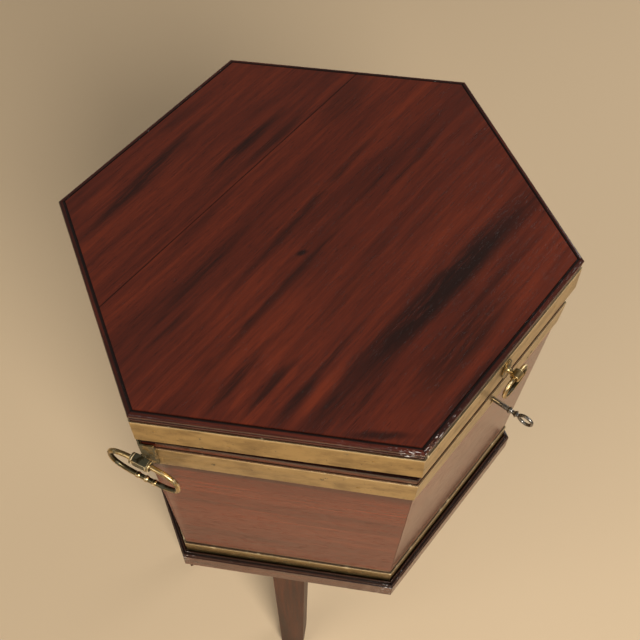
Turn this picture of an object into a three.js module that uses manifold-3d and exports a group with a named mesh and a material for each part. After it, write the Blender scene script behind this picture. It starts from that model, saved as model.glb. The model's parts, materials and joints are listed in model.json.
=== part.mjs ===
// Hexagonal brass-bound mahogany cellarette with a hinged lid, standing on a four-legged frame.
// Millimetres, +Z up, lock side toward -Y, carrying handles on the two corners toward -X and +X.
// The origin is on the floor under the middle of the whole, key and hinges included.
// A side's "reach" is the distance from the middle of the hexagon to that side's face.

import * as THREE from 'three';
import { mergeVertices } from 'three/addons/utils/BufferGeometryUtils.js';
import Module from 'manifold-3d';

const wasm = await Module();
wasm.setup();

// Hexagon and joints
const sideCount = 6;
const sideTurn = (2 * Math.PI) / sideCount;
const mitreAngle = sideTurn / 2;
const glueGap = 0.3;
const cutOverrun = 20;

// Stand
const legHeight = 300.3;
const legTopWidth = 38;
const legFootWidth = 30;
const tenonWidth = 16;
const tenonHeight = 14;
const railHeight = 32;
const railWidth = 30;
const standMouldingHeight = 32;
const standMouldingWidth = 6.3;
const standMouldingLap = 10;
const standClearance = 1.2;
const standOuterBead = 2.4;
const standInnerBead = 1.4;
const standBeadSet = 0.8;

// Case
const caseHeight = 318;
const rimReach = 212.5;
const caseTaper = 13.4;
const panelThickness = 15;
const baseThickness = 12;
const bandThickness = 1.5;
const upperBandHeight = 35;
const upperBandDrop = 10;
const lowerBandHeight = 27;
const lowerBandRise = 4;
const linerThickness = 2.5;
const linerDrop = 6;

// Lid
const lidAjar = THREE.MathUtils.degToRad(1.5);
const lidGap = 0.8;
const lidOverhang = 4;
const lidSideHeight = 36;
const lidSideThickness = 15;
const lidBandRise = 3.5;
const lidBandDrop = 0.5;
const topThickness = 12;
const backBoardWidth = 114.5;
const lidMouldingWidth = 6.2;
const lidUpperBead = 3.2;
const lidGroove = 0.6;
const lidBeadSet = 0.8;
const lidBeadEase = 0.3;
const quirkWidth = 1.1;
const quirkDepth = 1.2;

// Hinges
const hingeLength = 50;
const hingeMargin = 35.7;
const leafThickness = 1.6;
const leafDepth = 13;
const knuckleRadius = 3;
const knuckleCount = 5;
const hingePinRadius = 1.3;
const screwHeadRadius = 2.8;
const screwShankRadius = 1.4;
const screwSpread = 16;

// Lock and key
const lockWall = 1.2;
const lockInset = 0.4;
const lockEndPlay = 3;
const boltThickness = 5;
const boltBarHeight = 6;
const boltWeb = 2.8;
const boltTravel = 7;
const boltPost = 3.3;
const fingerHeight = 3.2;
const fingerThickness = 1.8;
const fingerPlay = 1;
const loopSpread = 14;
const loopThickness = 3;
const loopWidth = 7.6;
const loopLength = 13;
const loopBar = 2.3;
const loopHoleHeight = 5.2;
const loopHoleWidth = 4.4;
const loopPlay = 0.6;
const loopEndPlay = 2.2;
const linkPlateLength = 44;
const linkPlateWidth = 11;
const keyStemRadius = 2.4;
const keyCollarRadius = 3.7;
const keyCollarWidth = 2.2;
const keyCollarSpacing = 6.9;
const keyCollarStandOff = 19.5;
const keyBitLength = 10;
const keyBitWidth = 5;
const keyBitThickness = 3;
const keyBowLength = 14;
const keyBowWidth = 12;
const keyBowBar = 1.3;
const keyholePlay = 0.6;

// Carrying handles
const handleDrop = 31;
const handleStandOff = 7;
const handleSkew = THREE.MathUtils.degToRad(11.5);
const cornerPlateArm = 13;
const cornerPlateHeight = 38;
const cornerPlateRise = 9;
const cornerPlateThickness = 1.6;
const handleNeckRadius = 4.2;
const handleSpikeRadius = 3.2;
const handleSpikeLength = 12;
const handleBlockSize = 10;
const handleBlockLength = 15;
const handleCollarRadius = 5.5;
const handleCollarWidth = 3;
const bailWidth = 75;
const bailHeight = 37;
const bailBar = 2.5;
const bailPlay = 0.6;
const bailBeadRadius = 3.3;
const bailBeadSpacing = 9;

// Lifting ring on the lid
const ringPlateWidth = 15;
const ringPlateHeight = 25;
const ringPlateThickness = 1.6;
const ringStandOff = 11.5;
const ringNeckRadius = 2.7;
const ringEyeRadius = 4.6;
const ringEyeLength = 9;
const ringWidth = 34;
const ringHeight = 21.5;
const ringBar = 2;
const ringPlay = 0.5;

// Facets
const arcSegments = 5;
const roundFacets = 20;
const smallFacets = 12;
const barFacets = 12;
const bailSteps = 36;
const ringSteps = 28;
const bailSquareness = 2.7;
const roundSquareness = 2.1;

// Heights, from the floor up
const railBottom = legHeight + glueGap;
const railTop = railBottom + railHeight;
const caseBottom = railTop + glueGap;
const rimTop = caseBottom + caseHeight;
const lidBottom = rimTop + lidGap;
const lidSideTop = lidBottom + lidSideHeight;
const boardBottom = lidSideTop + glueGap;
const lidTop = boardBottom + topThickness;

// Levels and reaches that several pieces share
const lidReach = rimReach + lidOverhang;
const upperBandTop = rimTop - upperBandDrop;
const lowerBandBottom = caseBottom + lowerBandRise;
const standMouldingTop = caseBottom + standMouldingLap;
const standInnerReach = caseReach(standMouldingTop) + glueGap + bandThickness + standClearance;
const standReach = standInnerReach + standMouldingWidth;
const railReach = standInnerReach - glueGap;
const lidSideReach = lidReach - bandThickness - glueGap;
const boardReach = lidReach - lidMouldingWidth - glueGap;
const lidBandBottom = lidBottom + lidBandRise;
const lidBandTop = lidSideTop - lidBandDrop;
const lidLowerBead = (topThickness - lidGroove) / 2 - lidBeadEase - lidUpperBead;
const hingeReach = lidReach + glueGap + knuckleRadius;
const hingeLevel = rimTop + lidGap / 2;
const hingeSpread = rimReach * Math.tan(mitreAngle) - hingeMargin - hingeLength / 2;
const handleLevel = rimTop - handleDrop;
const lockReach = rimReach - panelThickness + lockInset;
const lockDepth = lockWall + loopWidth + 2 * loopPlay;
const fingerLength = boltTravel + fingerPlay;
const lockWidth = 2 * (
  loopSpread + loopThickness / 2 + fingerPlay + fingerLength + boltPost + lockEndPlay + lockWall
);
const boltBarTop = lidBottom - loopLength - loopEndPlay;
const bitSweep = keyBitLength + glueGap;
const keyLevel = boltBarTop - boltWeb - keyBitThickness / 2 - bitSweep;
const lockBottom = keyLevel - keyBitLength - keyholePlay - lockWall;
const keyCollarReach = rimReach + keyCollarStandOff;
const keyBowReach = keyCollarReach + keyCollarSpacing + keyCollarWidth + keyBowLength / 2 + keyBowBar;
const frontmost = keyBowReach + keyBowLength / 2 + keyBowBar;
const rearmost = hingeReach + knuckleRadius;

const sideNames = ['front', 'front_right', 'back_right', 'back', 'back_left', 'front_left'];
const obliqueSides = ['front_right', 'back_right', 'back_left', 'front_left'];

const materials = {
  top: new THREE.MeshStandardMaterial({ color: 0x562a1e, roughness: 0.32, metalness: 0 }),
  case: new THREE.MeshStandardMaterial({ color: 0x7d4733, roughness: 0.3, metalness: 0 }),
  stand: new THREE.MeshStandardMaterial({ color: 0x5f3a2a, roughness: 0.4, metalness: 0 }),
  base: new THREE.MeshStandardMaterial({ color: 0x8a6a48, roughness: 0.8, metalness: 0 }),
  brass: new THREE.MeshStandardMaterial({ color: 0x9c7a45, roughness: 0.38, metalness: 1 }),
  iron: new THREE.MeshStandardMaterial({ color: 0x3b3835, roughness: 0.45, metalness: 1 }),
  lead: new THREE.MeshStandardMaterial({ color: 0x6d7074, roughness: 0.6, metalness: 1 }),
};

const cellarette = new THREE.Group();
cellarette.name = 'cellarette';
cellarette.position.y = (frontmost - rearmost) / 2;

// The lid's pieces are drawn closed. Their group turns about the hinges to stand ajar.
const lid = new THREE.Group();
const hingeAxis = new THREE.Vector3(0, hingeReach, hingeLevel);
lid.rotation.x = -lidAjar;
lid.position.copy(hingeAxis).sub(hingeAxis.clone().applyEuler(lid.rotation));
cellarette.add(lid);

// The outer wooden face of the tapering case at a height above the floor.
function caseReach(level) {
  return rimReach - (caseTaper * (rimTop - level)) / caseHeight;
}

function toSolid(geometry) {
  const bare = geometry.index ? geometry.toNonIndexed() : geometry.clone();
  bare.deleteAttribute('normal');
  bare.deleteAttribute('uv');
  const welded = mergeVertices(bare);
  const mesh = new wasm.Mesh({
    numProp: 3,
    vertProperties: new Float32Array(welded.attributes.position.array),
    triVerts: new Uint32Array(welded.index.array),
  });
  return new wasm.Manifold(mesh);
}

function toGeometry(solid) {
  const mesh = solid.getMesh();
  const geometry = new THREE.BufferGeometry();
  geometry.setAttribute('position', new THREE.BufferAttribute(mesh.vertProperties, 3));
  geometry.setIndex(new THREE.BufferAttribute(mesh.triVerts, 1));
  geometry.computeVertexNormals();
  return geometry;
}

function join(first, ...others) {
  return others.reduce((whole, other) => whole.add(toSolid(other)), toSolid(first));
}

function cut(solid, ...tools) {
  return tools.reduce((rest, tool) => rest.subtract(toSolid(tool)), solid);
}

function addPiece(name, shape, material, parent = cellarette) {
  const geometry = shape.isBufferGeometry ? shape : toGeometry(shape);
  const mesh = new THREE.Mesh(geometry, material);
  mesh.name = name;
  parent.add(mesh);
  return mesh;
}

// A box between two opposite corners.
function boxBetween(low, high) {
  const size = high.map((value, i) => value - low[i]);
  const middle = high.map((value, i) => (value + low[i]) / 2);
  return new THREE.BoxGeometry(...size).translate(...middle);
}

// A round bar of a given length along X or Y, centred on the origin.
function barAlong(axis, radius, length, facets = roundFacets) {
  const bar = new THREE.CylinderGeometry(radius, radius, length, facets);
  return axis === 'x' ? bar.rotateZ(Math.PI / 2) : bar;
}

// A hexagonal frustum with corners toward -X and +X.
function hexagonBlock(bottomReach, topReach, bottom, top) {
  const toCorner = 1 / Math.cos(mitreAngle);
  const radii = [topReach * toCorner, bottomReach * toCorner];
  const block = new THREE.CylinderGeometry(...radii, top - bottom, sideCount);
  return block.rotateX(Math.PI / 2).rotateZ(mitreAngle).translate(0, 0, (top + bottom) / 2);
}

// A hexagonal band that stands on the faces of a block: reaches are those of its inner face.
function hexagonBand(bottomReach, topReach, bottom, top, thickness) {
  const slope = (topReach - bottomReach) / (top - bottom);
  const rise = slope * cutOverrun;
  const outer = toSolid(hexagonBlock(bottomReach + thickness, topReach + thickness, bottom, top));
  const core = hexagonBlock(bottomReach - rise, topReach + rise, bottom - cutOverrun, top + cutOverrun);
  return cut(outer, core);
}

// The sixth of space that belongs to the front side, less half a glue line at each mitre.
function frontSector() {
  const depth = 2 * lidReach;
  const apex = glueGap / 2 / Math.sin(mitreAngle);
  const spread = depth * Math.tan(mitreAngle);
  const triangle = new THREE.Shape();
  triangle.moveTo(0, -apex);
  triangle.lineTo(-spread, -apex - depth);
  triangle.lineTo(spread, -apex - depth);
  triangle.closePath();
  const options = { depth: lidTop + 2 * cutOverrun, bevelEnabled: false };
  return new THREE.ExtrudeGeometry(triangle, options).translate(0, 0, -cutOverrun);
}

// One mitred length of the front side. The profile is drawn as reach against height.
function mitredLength(profile) {
  const length = 2 * lidReach;
  const options = { depth: length, bevelEnabled: false, curveSegments: arcSegments };
  const run = new THREE.ExtrudeGeometry(profile, options);
  run.translate(0, 0, -length / 2);
  const outward = new THREE.Vector3(0, -1, 0);
  const upward = new THREE.Vector3(0, 0, 1);
  const sideways = new THREE.Vector3(-1, 0, 0);
  run.applyMatrix4(new THREE.Matrix4().makeBasis(outward, upward, sideways));
  return toSolid(run).intersect(toSolid(frontSector()));
}

function polygon(points) {
  return new THREE.Shape(points.map(([x, y]) => new THREE.Vector2(x, y)));
}

// The same length on each side of the hexagon. `tools` gives the cuts that a side needs, in its own place.
function addSides(prefix, profile, material, { tools = {}, parent = cellarette } = {}) {
  const length = mitredLength(profile);
  sideNames.forEach((side, turn) => {
    const turned = toSolid(toGeometry(length).rotateZ(turn * sideTurn));
    addPiece(`${prefix}_${side}`, cut(turned, ...(tools[side] ?? [])), material, parent);
  });
}

// A closed ring of round bar in the XY plane, on an oval that is squarer the higher its squareness.
function ovalRing(width, height, bar, squareness, steps, facets) {
  const centre = (turn) => {
    const c = Math.cos(turn);
    const s = Math.sin(turn);
    const x = (Math.sign(c) * width * Math.abs(c) ** (2 / squareness)) / 2;
    const y = (Math.sign(s) * height * Math.abs(s) ** (2 / squareness)) / 2;
    return new THREE.Vector2(x, y);
  };
  const positions = [];
  const index = [];
  for (let i = 0; i < steps; i += 1) {
    const here = centre((2 * Math.PI * i) / steps);
    const ahead = centre((2 * Math.PI * (i + 1)) / steps);
    const behind = centre((2 * Math.PI * (i - 1)) / steps);
    const along = ahead.sub(behind).normalize();
    for (let j = 0; j < facets; j += 1) {
      const around = (2 * Math.PI * j) / facets;
      const out = bar * Math.cos(around);
      positions.push(here.x + along.y * out, here.y - along.x * out, bar * Math.sin(around));
      const nextRing = ((i + 1) % steps) * facets;
      const nextPoint = (j + 1) % facets;
      const corners = [i * facets + j, nextRing + j, nextRing + nextPoint, i * facets + nextPoint];
      index.push(corners[0], corners[1], corners[2], corners[0], corners[2], corners[3]);
    }
  }
  const ring = new THREE.BufferGeometry();
  ring.setAttribute('position', new THREE.Float32BufferAttribute(positions, 3));
  ring.setIndex(index);
  return ring;
}

// STAND

function railProfile() {
  const inner = railReach - railWidth;
  return polygon([[inner, railBottom], [railReach, railBottom], [railReach, railTop], [inner, railTop]]);
}

// Flat face with two worn beads above it.
function standMouldingProfile() {
  const bottom = standMouldingTop - standMouldingHeight;
  const outerBeadX = standReach - standBeadSet - standOuterBead;
  const outerBeadY = standMouldingTop - standInnerBead - standOuterBead;
  const innerBeadX = standInnerReach + standInnerBead;
  const profile = new THREE.Shape();
  profile.moveTo(standInnerReach, bottom);
  profile.lineTo(standReach, bottom);
  profile.lineTo(standReach, outerBeadY - standOuterBead);
  profile.lineTo(outerBeadX, outerBeadY - standOuterBead);
  profile.absarc(outerBeadX, outerBeadY, standOuterBead, -Math.PI / 2, Math.PI / 2);
  profile.lineTo(innerBeadX + standInnerBead, standMouldingTop - standInnerBead);
  profile.absarc(innerBeadX, standMouldingTop - standInnerBead, standInnerBead, 0, Math.PI);
  profile.closePath();
  return profile;
}

// Square leg that narrows downward on its two flanks and its inner face, tenoned into a rail.
function legShape() {
  const foot = legFootWidth / 2;
  const top = legTopWidth / 2;
  const front = polygon([[-foot, 0], [foot, 0], [top, legHeight], [-top, legHeight]]);
  const side = polygon([[top - legFootWidth, 0], [top, 0], [top, legHeight], [-top, legHeight]]);
  const options = { depth: legTopWidth, bevelEnabled: false };
  const broad = new THREE.ExtrudeGeometry(front, options).rotateX(Math.PI / 2).translate(0, top, 0);
  const deep = new THREE.ExtrudeGeometry(side, options).rotateX(Math.PI / 2).translate(0, top, 0);
  const tapered = toSolid(broad).intersect(toSolid(deep.rotateZ(-Math.PI / 2)));
  return tapered.add(toSolid(tenon(0)));
}

// The tenon, or with some play its mortise, on top of a leg that stands at the origin. It is in mid rail.
function tenon(play) {
  const half = tenonWidth / 2 + play;
  const block = boxBetween([-half, -half, legHeight - glueGap], [half, half, legHeight + tenonHeight + play]);
  return block.translate(0, (railWidth - legTopWidth) / 2, 0);
}

function legReach() {
  return railReach - legTopWidth / 2;
}

function addStand() {
  const tools = {};
  obliqueSides.forEach((side) => {
    const turn = sideNames.indexOf(side) * sideTurn;
    tools[side] = [tenon(glueGap).translate(0, -legReach(), 0).rotateZ(turn)];
    const leg = addPiece(`leg_${side}`, legShape(), materials.stand);
    leg.position.set(legReach() * Math.sin(turn), -legReach() * Math.cos(turn), 0);
    leg.rotation.z = turn;
  });
  addSides('stand_rail', railProfile(), materials.stand, { tools });
  addSides('stand_moulding', standMouldingProfile(), materials.stand);
}

// CASE

function panelProfile() {
  const foot = caseReach(caseBottom);
  return polygon([
    [foot - panelThickness, caseBottom], [foot, caseBottom],
    [rimReach, rimTop], [rimReach - panelThickness, rimTop],
  ]);
}

// Round hole for the key's stem with a slot below it for the bit.
function keyhole() {
  const slot = keyBitThickness / 2 + keyholePlay;
  const back = -rimReach - cutOverrun;
  const front = -rimReach + panelThickness + cutOverrun;
  const round = barAlong('y', keyStemRadius + keyholePlay, front - back, smallFacets);
  round.translate(0, (front + back) / 2, keyLevel);
  const below = keyLevel - keyBitLength - keyholePlay;
  return [round, boxBetween([-slot, back, below], [slot, front, keyLevel])];
}

function lockPocket() {
  const half = lockWidth / 2 + glueGap;
  const front = lockReach + lockDepth + glueGap;
  return boxBetween(
    [-half, -front, lockBottom - glueGap],
    [half, -front + lockDepth + cutOverrun, rimTop + cutOverrun],
  );
}

// The handles' spikes, with some play, through both side corners.
function spikeHole(sign) {
  const length = 2 * handleSpikeLength + cutOverrun;
  const hole = barAlong('x', handleSpikeRadius + glueGap, length, smallFacets);
  const end = handleCorner() - handleSpikeLength - glueGap;
  return hole.translate(sign * (end + length / 2), 0, handleLevel);
}

function handleCorner() {
  return (caseReach(handleLevel) + glueGap + bandThickness) / Math.cos(mitreAngle);
}

function addCase() {
  const corners = [spikeHole(-1), spikeHole(1)];
  const tools = Object.fromEntries(obliqueSides.map((side) => [side, corners]));
  tools.front = [lockPocket(), ...keyhole()];
  tools.back = hingeMiddles().map((x) => leafPocket(x, -1));
  addSides('case_panel', panelProfile(), materials.case, { tools });

  const upperBottom = upperBandTop - upperBandHeight;
  const upper = hexagonBand(
    caseReach(upperBottom) + glueGap, caseReach(upperBandTop) + glueGap,
    upperBottom, upperBandTop, bandThickness,
  );
  addPiece('case_upper_band', cut(upper, ...corners, ...keyhole()), materials.brass);

  const lowerTop = lowerBandBottom + lowerBandHeight;
  const lower = hexagonBand(
    caseReach(lowerBandBottom) + glueGap, caseReach(lowerTop) + glueGap,
    lowerBandBottom, lowerTop, bandThickness,
  );
  addPiece('case_lower_band', lower, materials.brass);

  const inset = panelThickness + glueGap;
  const baseTop = caseBottom + baseThickness;
  const base = hexagonBlock(caseReach(caseBottom) - inset, caseReach(baseTop) - inset, caseBottom, baseTop);
  addPiece('case_base', base, materials.base);
  addPiece('lead_liner', linerShape(), materials.lead);
}

// Open lead tray that lines the case.
function linerShape() {
  const bottom = caseBottom + baseThickness + glueGap;
  const top = rimTop - linerDrop;
  const inset = panelThickness + glueGap;
  const floorTop = bottom + linerThickness;
  const wellTop = top + cutOverrun;
  const inner = inset + linerThickness;
  const tray = toSolid(hexagonBlock(caseReach(bottom) - inset, caseReach(top) - inset, bottom, top));
  return cut(tray, hexagonBlock(caseReach(floorTop) - inner, caseReach(wellTop) - inner, floorTop, wellTop));
}

// LID

// A quirk beside the boards, a large bead at the top edge and a smaller bead below it.
function lidMouldingProfile() {
  const inner = lidReach - lidMouldingWidth;
  const crown = lidTop - lidBeadEase;
  const upperX = lidReach - lidUpperBead;
  const lowerX = lidReach - lidBeadSet - lidLowerBead;
  const lowerY = boardBottom + lidBeadEase + lidLowerBead;
  const profile = new THREE.Shape();
  profile.moveTo(inner, boardBottom);
  profile.lineTo(lowerX, boardBottom);
  profile.absarc(lowerX, lowerY, lidLowerBead, -Math.PI / 2, Math.PI / 2);
  profile.absarc(upperX, crown - lidUpperBead, lidUpperBead, -Math.PI / 2, Math.PI / 2);
  profile.lineTo(inner + quirkWidth, crown);
  profile.lineTo(inner + quirkWidth, lidTop - quirkDepth);
  profile.lineTo(inner, lidTop - quirkDepth);
  profile.closePath();
  return profile;
}

// The two boards of the top, on each side of a glue joint that runs from left to right.
function addTopBoards() {
  const whole = toSolid(hexagonBlock(boardReach, boardReach, boardBottom, lidTop));
  const far = 2 * lidReach;
  const above = lidTop + cutOverrun;
  const below = boardBottom - cutOverrun;
  const joint = boardReach - backBoardWidth;
  const behind = boxBetween([-far, joint - glueGap / 2, below], [far, far, above]);
  const before = boxBetween([-far, -far, below], [far, joint + glueGap / 2, above]);
  addPiece('lid_board_front', cut(whole, behind), materials.top, lid);
  addPiece('lid_board_back', cut(whole, before), materials.top, lid);
}

function lidSideProfile() {
  const inner = lidSideReach - lidSideThickness;
  return polygon([
    [inner, lidBottom], [lidSideReach, lidBottom],
    [lidSideReach, lidSideTop], [inner, lidSideTop],
  ]);
}

function addLid() {
  addTopBoards();
  addSides('lid_moulding', lidMouldingProfile(), materials.top, { parent: lid });
  const tools = {
    front: [linkPlate(glueGap)],
    back: hingeMiddles().map((x) => leafPocket(x, 1)),
  };
  addSides('lid_side', lidSideProfile(), materials.top, { tools, parent: lid });
  const inner = lidSideReach + glueGap;
  const band = hexagonBand(inner, inner, lidBandBottom, lidBandTop, bandThickness);
  addPiece('lid_band', band, materials.brass, lid);
}

// HINGES
// `half` is -1 for the leaf in the case's rim and 1 for the leaf in the lid.

function hingeMiddles() {
  return [-hingeSpread, hingeSpread];
}

function leafEdge() {
  return rimReach - leafDepth;
}

function leafLevels(half) {
  return half < 0 ? [rimTop - leafThickness, rimTop] : [lidBottom, lidBottom + leafThickness];
}

function leafPocket(middle, half) {
  const [low, high] = leafLevels(half);
  const x = hingeLength / 2 + glueGap;
  const bottom = half < 0 ? low - glueGap : low - cutOverrun;
  const top = half < 0 ? high + cutOverrun : high + glueGap;
  return boxBetween([middle - x, leafEdge() - glueGap, bottom], [middle + x, hingeReach + cutOverrun, top]);
}

// Where a leaf's screws stand, in plan.
function screwPlaces(middle) {
  const y = leafEdge() + leafDepth / 2;
  return [[middle - screwSpread, y], [middle + screwSpread, y]];
}

// A countersunk hole through a leaf, wide toward the other leaf.
function screwHole([x, y], half) {
  const mouth = screwHeadRadius + glueGap;
  const depth = leafThickness + glueGap;
  const outline = [[0, -glueGap], [mouth, -glueGap], [screwShankRadius, depth], [0, depth]];
  const hole = new THREE.LatheGeometry(outline.map(([r, d]) => new THREE.Vector2(r, d)), smallFacets);
  hole.rotateX((half * Math.PI) / 2);
  const [low, high] = leafLevels(half);
  return hole.translate(x, y, half < 0 ? high : low);
}

function leafShape(middle, half) {
  const [low, high] = leafLevels(half);
  const x = hingeLength / 2;
  const plate = boxBetween([middle - x, leafEdge(), low], [middle + x, hingeReach, high]);
  const barrel = barAlong('x', knuckleRadius, hingeLength).translate(middle, hingeReach, hingeLevel);
  const bore = barAlong('x', hingePinRadius + glueGap, hingeLength + cutOverrun);
  bore.translate(middle, hingeReach, hingeLevel);
  const gaps = [];
  const pitch = hingeLength / knuckleCount;
  for (let knuckle = half < 0 ? 1 : 0; knuckle < knuckleCount; knuckle += 2) {
    const start = knuckle === 0 ? -x - cutOverrun : -x + knuckle * pitch - glueGap / 2;
    const end = knuckle === knuckleCount - 1 ? x + cutOverrun : -x + (knuckle + 1) * pitch + glueGap / 2;
    const radius = knuckleRadius + glueGap;
    gaps.push(boxBetween(
      [middle + start, hingeReach - radius, hingeLevel - radius],
      [middle + end, hingeReach + radius, hingeLevel + radius],
    ));
  }
  const holes = screwPlaces(middle).map((at) => screwHole(at, half));
  return cut(join(plate, barrel), bore, ...gaps, ...holes);
}

function addHinges() {
  const sides = ['left', 'right'];
  hingeMiddles().forEach((middle, i) => {
    addPiece(`hinge_case_leaf_${sides[i]}`, leafShape(middle, -1), materials.brass);
    addPiece(`hinge_lid_leaf_${sides[i]}`, leafShape(middle, 1), materials.brass, lid);
    const pin = barAlong('x', hingePinRadius, hingeLength);
    addPiece(`hinge_pin_${sides[i]}`, pin.translate(middle, hingeReach, hingeLevel), materials.brass);
  });
}

// LOCK
// The lock is a tray open toward the panel, with a top plate flush with the rim.

function lockCaseShape() {
  const half = lockWidth / 2;
  const front = lockReach + lockDepth;
  const back = lockReach;
  const tray = boxBetween([-half, -front, lockBottom], [half, -back, rimTop]);
  const inside = boxBetween(
    [-half + lockWall, -front - cutOverrun, lockBottom + lockWall],
    [half - lockWall, -back - lockWall, rimTop - leafThickness],
  );
  const slots = [-loopSpread, loopSpread].map((x) => {
    const slot = loopThickness / 2 + fingerPlay;
    return boxBetween(
      [x - slot, -front - cutOverrun, rimTop - leafThickness - glueGap],
      [x + slot, -back - lockWall, rimTop + cutOverrun],
    );
  });
  return cut(toSolid(tray), inside, ...slots);
}

function loopMiddle() {
  return lockReach + lockWall + (lockDepth - lockWall) / 2;
}

// The plate under the lid's front side with the two loops that drop into the lock.
function linkPlate(play) {
  const half = linkPlateLength / 2 + play;
  const inner = lidSideReach - lidSideThickness - play;
  const bottom = lidBottom - (play > 0 ? cutOverrun : 0);
  return boxBetween(
    [-half, -inner - linkPlateWidth - 2 * play, bottom],
    [half, -inner + (play > 0 ? cutOverrun : 0), lidBottom + leafThickness + play],
  );
}

function linkShape() {
  const loops = [-loopSpread, loopSpread].map((x) => boxBetween(
    [x - loopThickness / 2, -loopMiddle() - loopWidth / 2, lidBottom - loopLength],
    [x + loopThickness / 2, -loopMiddle() + loopWidth / 2, lidBottom + leafThickness],
  ));
  const holeBottom = lidBottom - loopLength + loopBar;
  const holes = [-loopSpread, loopSpread].map((x) => boxBetween(
    [x - loopThickness, -loopMiddle() - loopHoleWidth / 2, holeBottom],
    [x + loopThickness, -loopMiddle() + loopHoleWidth / 2, holeBottom + loopHoleHeight],
  ));
  return cut(join(linkPlate(0), ...loops), ...holes);
}

// Bar with two posts whose fingers enter the loops when the key throws it toward +X.
function boltShape() {
  const back = lockReach + lockWall + glueGap;
  const barBottom = boltBarTop - boltBarHeight;
  const fingerBottom = lidBottom - loopLength + loopBar + (loopHoleHeight - fingerHeight) / 2;
  const fingerTop = fingerBottom + fingerHeight;
  const tips = [-loopSpread, loopSpread].map((x) => x - loopThickness / 2 - fingerPlay);
  const pieces = tips.flatMap((tip) => {
    const post = tip - fingerLength - boltPost;
    return [
      boxBetween([post, -back - boltThickness, barBottom], [post + boltPost, -back, fingerTop]),
      boxBetween(
        [post, -loopMiddle() - fingerThickness / 2, fingerBottom],
        [tip, -loopMiddle() + fingerThickness / 2, fingerTop],
      ),
    ];
  });
  const left = tips[0] - fingerLength - boltPost;
  const bar = boxBetween([left, -back - boltThickness, barBottom], [tips[1], -back, boltBarTop]);
  return cut(join(bar, ...pieces), talon(barBottom));
}

// The notch in the bolt's lower edge that the bit passes through in its half turn.
function talon(edge) {
  const entry = Math.asin(Math.min(1, (edge - keyLevel) / bitSweep));
  const swing = bitSweep * Math.cos(entry) + keyBitThickness / 2 + glueGap;
  const early = (boltTravel * entry) / Math.PI;
  const late = boltTravel - early;
  return boxBetween(
    [-swing - late, -rimReach - cutOverrun, edge - cutOverrun],
    [swing - early, -lockReach, boltBarTop - boltWeb],
  );
}

// Key with its bow upright and its bit level, as it stands when the lock is open. Its stem runs along -Y.
function keyShape() {
  const tip = lockReach + lockWall + glueGap;
  const secondCollar = keyCollarReach + keyCollarSpacing;
  const neck = keyStemRadius - (keyStemRadius - keyBowBar) / 2;
  const bowStart = keyBowReach - keyBowLength / 2;
  const outline = [
    [0, tip], [keyStemRadius, tip],
    [keyStemRadius, keyCollarReach - keyCollarWidth / 2],
    [keyCollarRadius, keyCollarReach],
    [keyStemRadius, keyCollarReach + keyCollarWidth / 2],
    [keyStemRadius, secondCollar - keyCollarWidth / 2],
    [keyCollarRadius, secondCollar],
    [neck, secondCollar + keyCollarWidth / 2],
    [neck, bowStart], [0, bowStart],
  ];
  const points = outline.map(([r, reach]) => new THREE.Vector2(r, -reach)).reverse();
  const stem = new THREE.LatheGeometry(points, smallFacets);
  const bow = ovalRing(keyBowWidth, keyBowLength, keyBowBar, roundSquareness, ringSteps, smallFacets);
  bow.rotateY(Math.PI / 2).translate(0, -keyBowReach, 0);
  const half = keyBitThickness / 2;
  const bit = boxBetween([-keyBitLength, -tip - keyBitWidth, -half], [0, -tip - glueGap, half]);
  return join(stem, bow, bit);
}

function addLock() {
  addPiece('lock_case', lockCaseShape(), materials.brass);
  addPiece('lock_bolt', boltShape(), materials.iron);
  addPiece('lid_link_plate', linkShape(), materials.brass, lid);
  const key = addPiece('key', keyShape(), materials.iron);
  key.position.z = keyLevel;
}

// CARRYING HANDLES
// Each is drawn with the case's corner at the origin and its bail hanging. The eye stands toward +X,
// turned about the corner by a skew toward the front.

// Plate folded over the case's corner, higher than its spike in the wood.
function cornerPlate() {
  const lean = Math.atan(caseTaper / caseHeight / Math.cos(mitreAngle));
  const slant = mitreAngle + Math.PI / 2;
  const arm = [cornerPlateArm * Math.cos(slant), cornerPlateArm * Math.sin(slant)];
  const skin = cornerPlateThickness / Math.cos(mitreAngle);
  const chevron = polygon([
    [0, 0], arm, [arm[0] + skin, arm[1]],
    [skin, 0], [arm[0] + skin, -arm[1]], [arm[0], -arm[1]],
  ]);
  const plate = new THREE.ExtrudeGeometry(chevron, { depth: cornerPlateHeight, bevelEnabled: false });
  plate.translate(glueGap, 0, cornerPlateRise - cornerPlateHeight / 2).rotateY(lean);
  const spikeLength = handleSpikeLength + skin;
  const spike = barAlong('x', handleSpikeRadius, spikeLength, smallFacets);
  return join(plate, spike.translate(skin - spikeLength / 2 + glueGap, 0, 0));
}

// Square block on a neck, with a collar at each end of the hole for the bail.
function eyeBlock() {
  const neckLength = handleStandOff - cornerPlateThickness / 2;
  const neck = barAlong('x', handleNeckRadius, neckLength, smallFacets);
  neck.translate(handleStandOff - neckLength / 2, 0, 0);
  const half = handleBlockSize / 2;
  const block = boxBetween(
    [handleStandOff - half, -handleBlockLength / 2, -half],
    [handleStandOff + half, handleBlockLength / 2, half],
  );
  const collarOffset = (handleBlockLength + handleCollarWidth) / 2;
  const collars = [-collarOffset, collarOffset].map((y) => {
    const collar = barAlong('y', handleCollarRadius, handleCollarWidth);
    return collar.translate(handleStandOff, y, 0);
  });
  const eye = barAlong('y', bailBar + bailPlay, handleBlockLength + cutOverrun);
  return cut(join(neck, block, ...collars), eye.translate(handleStandOff, 0, 0));
}

function handleBracketShape(skew) {
  return cornerPlate().add(toSolid(toGeometry(eyeBlock()).rotateZ(skew)));
}

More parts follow.
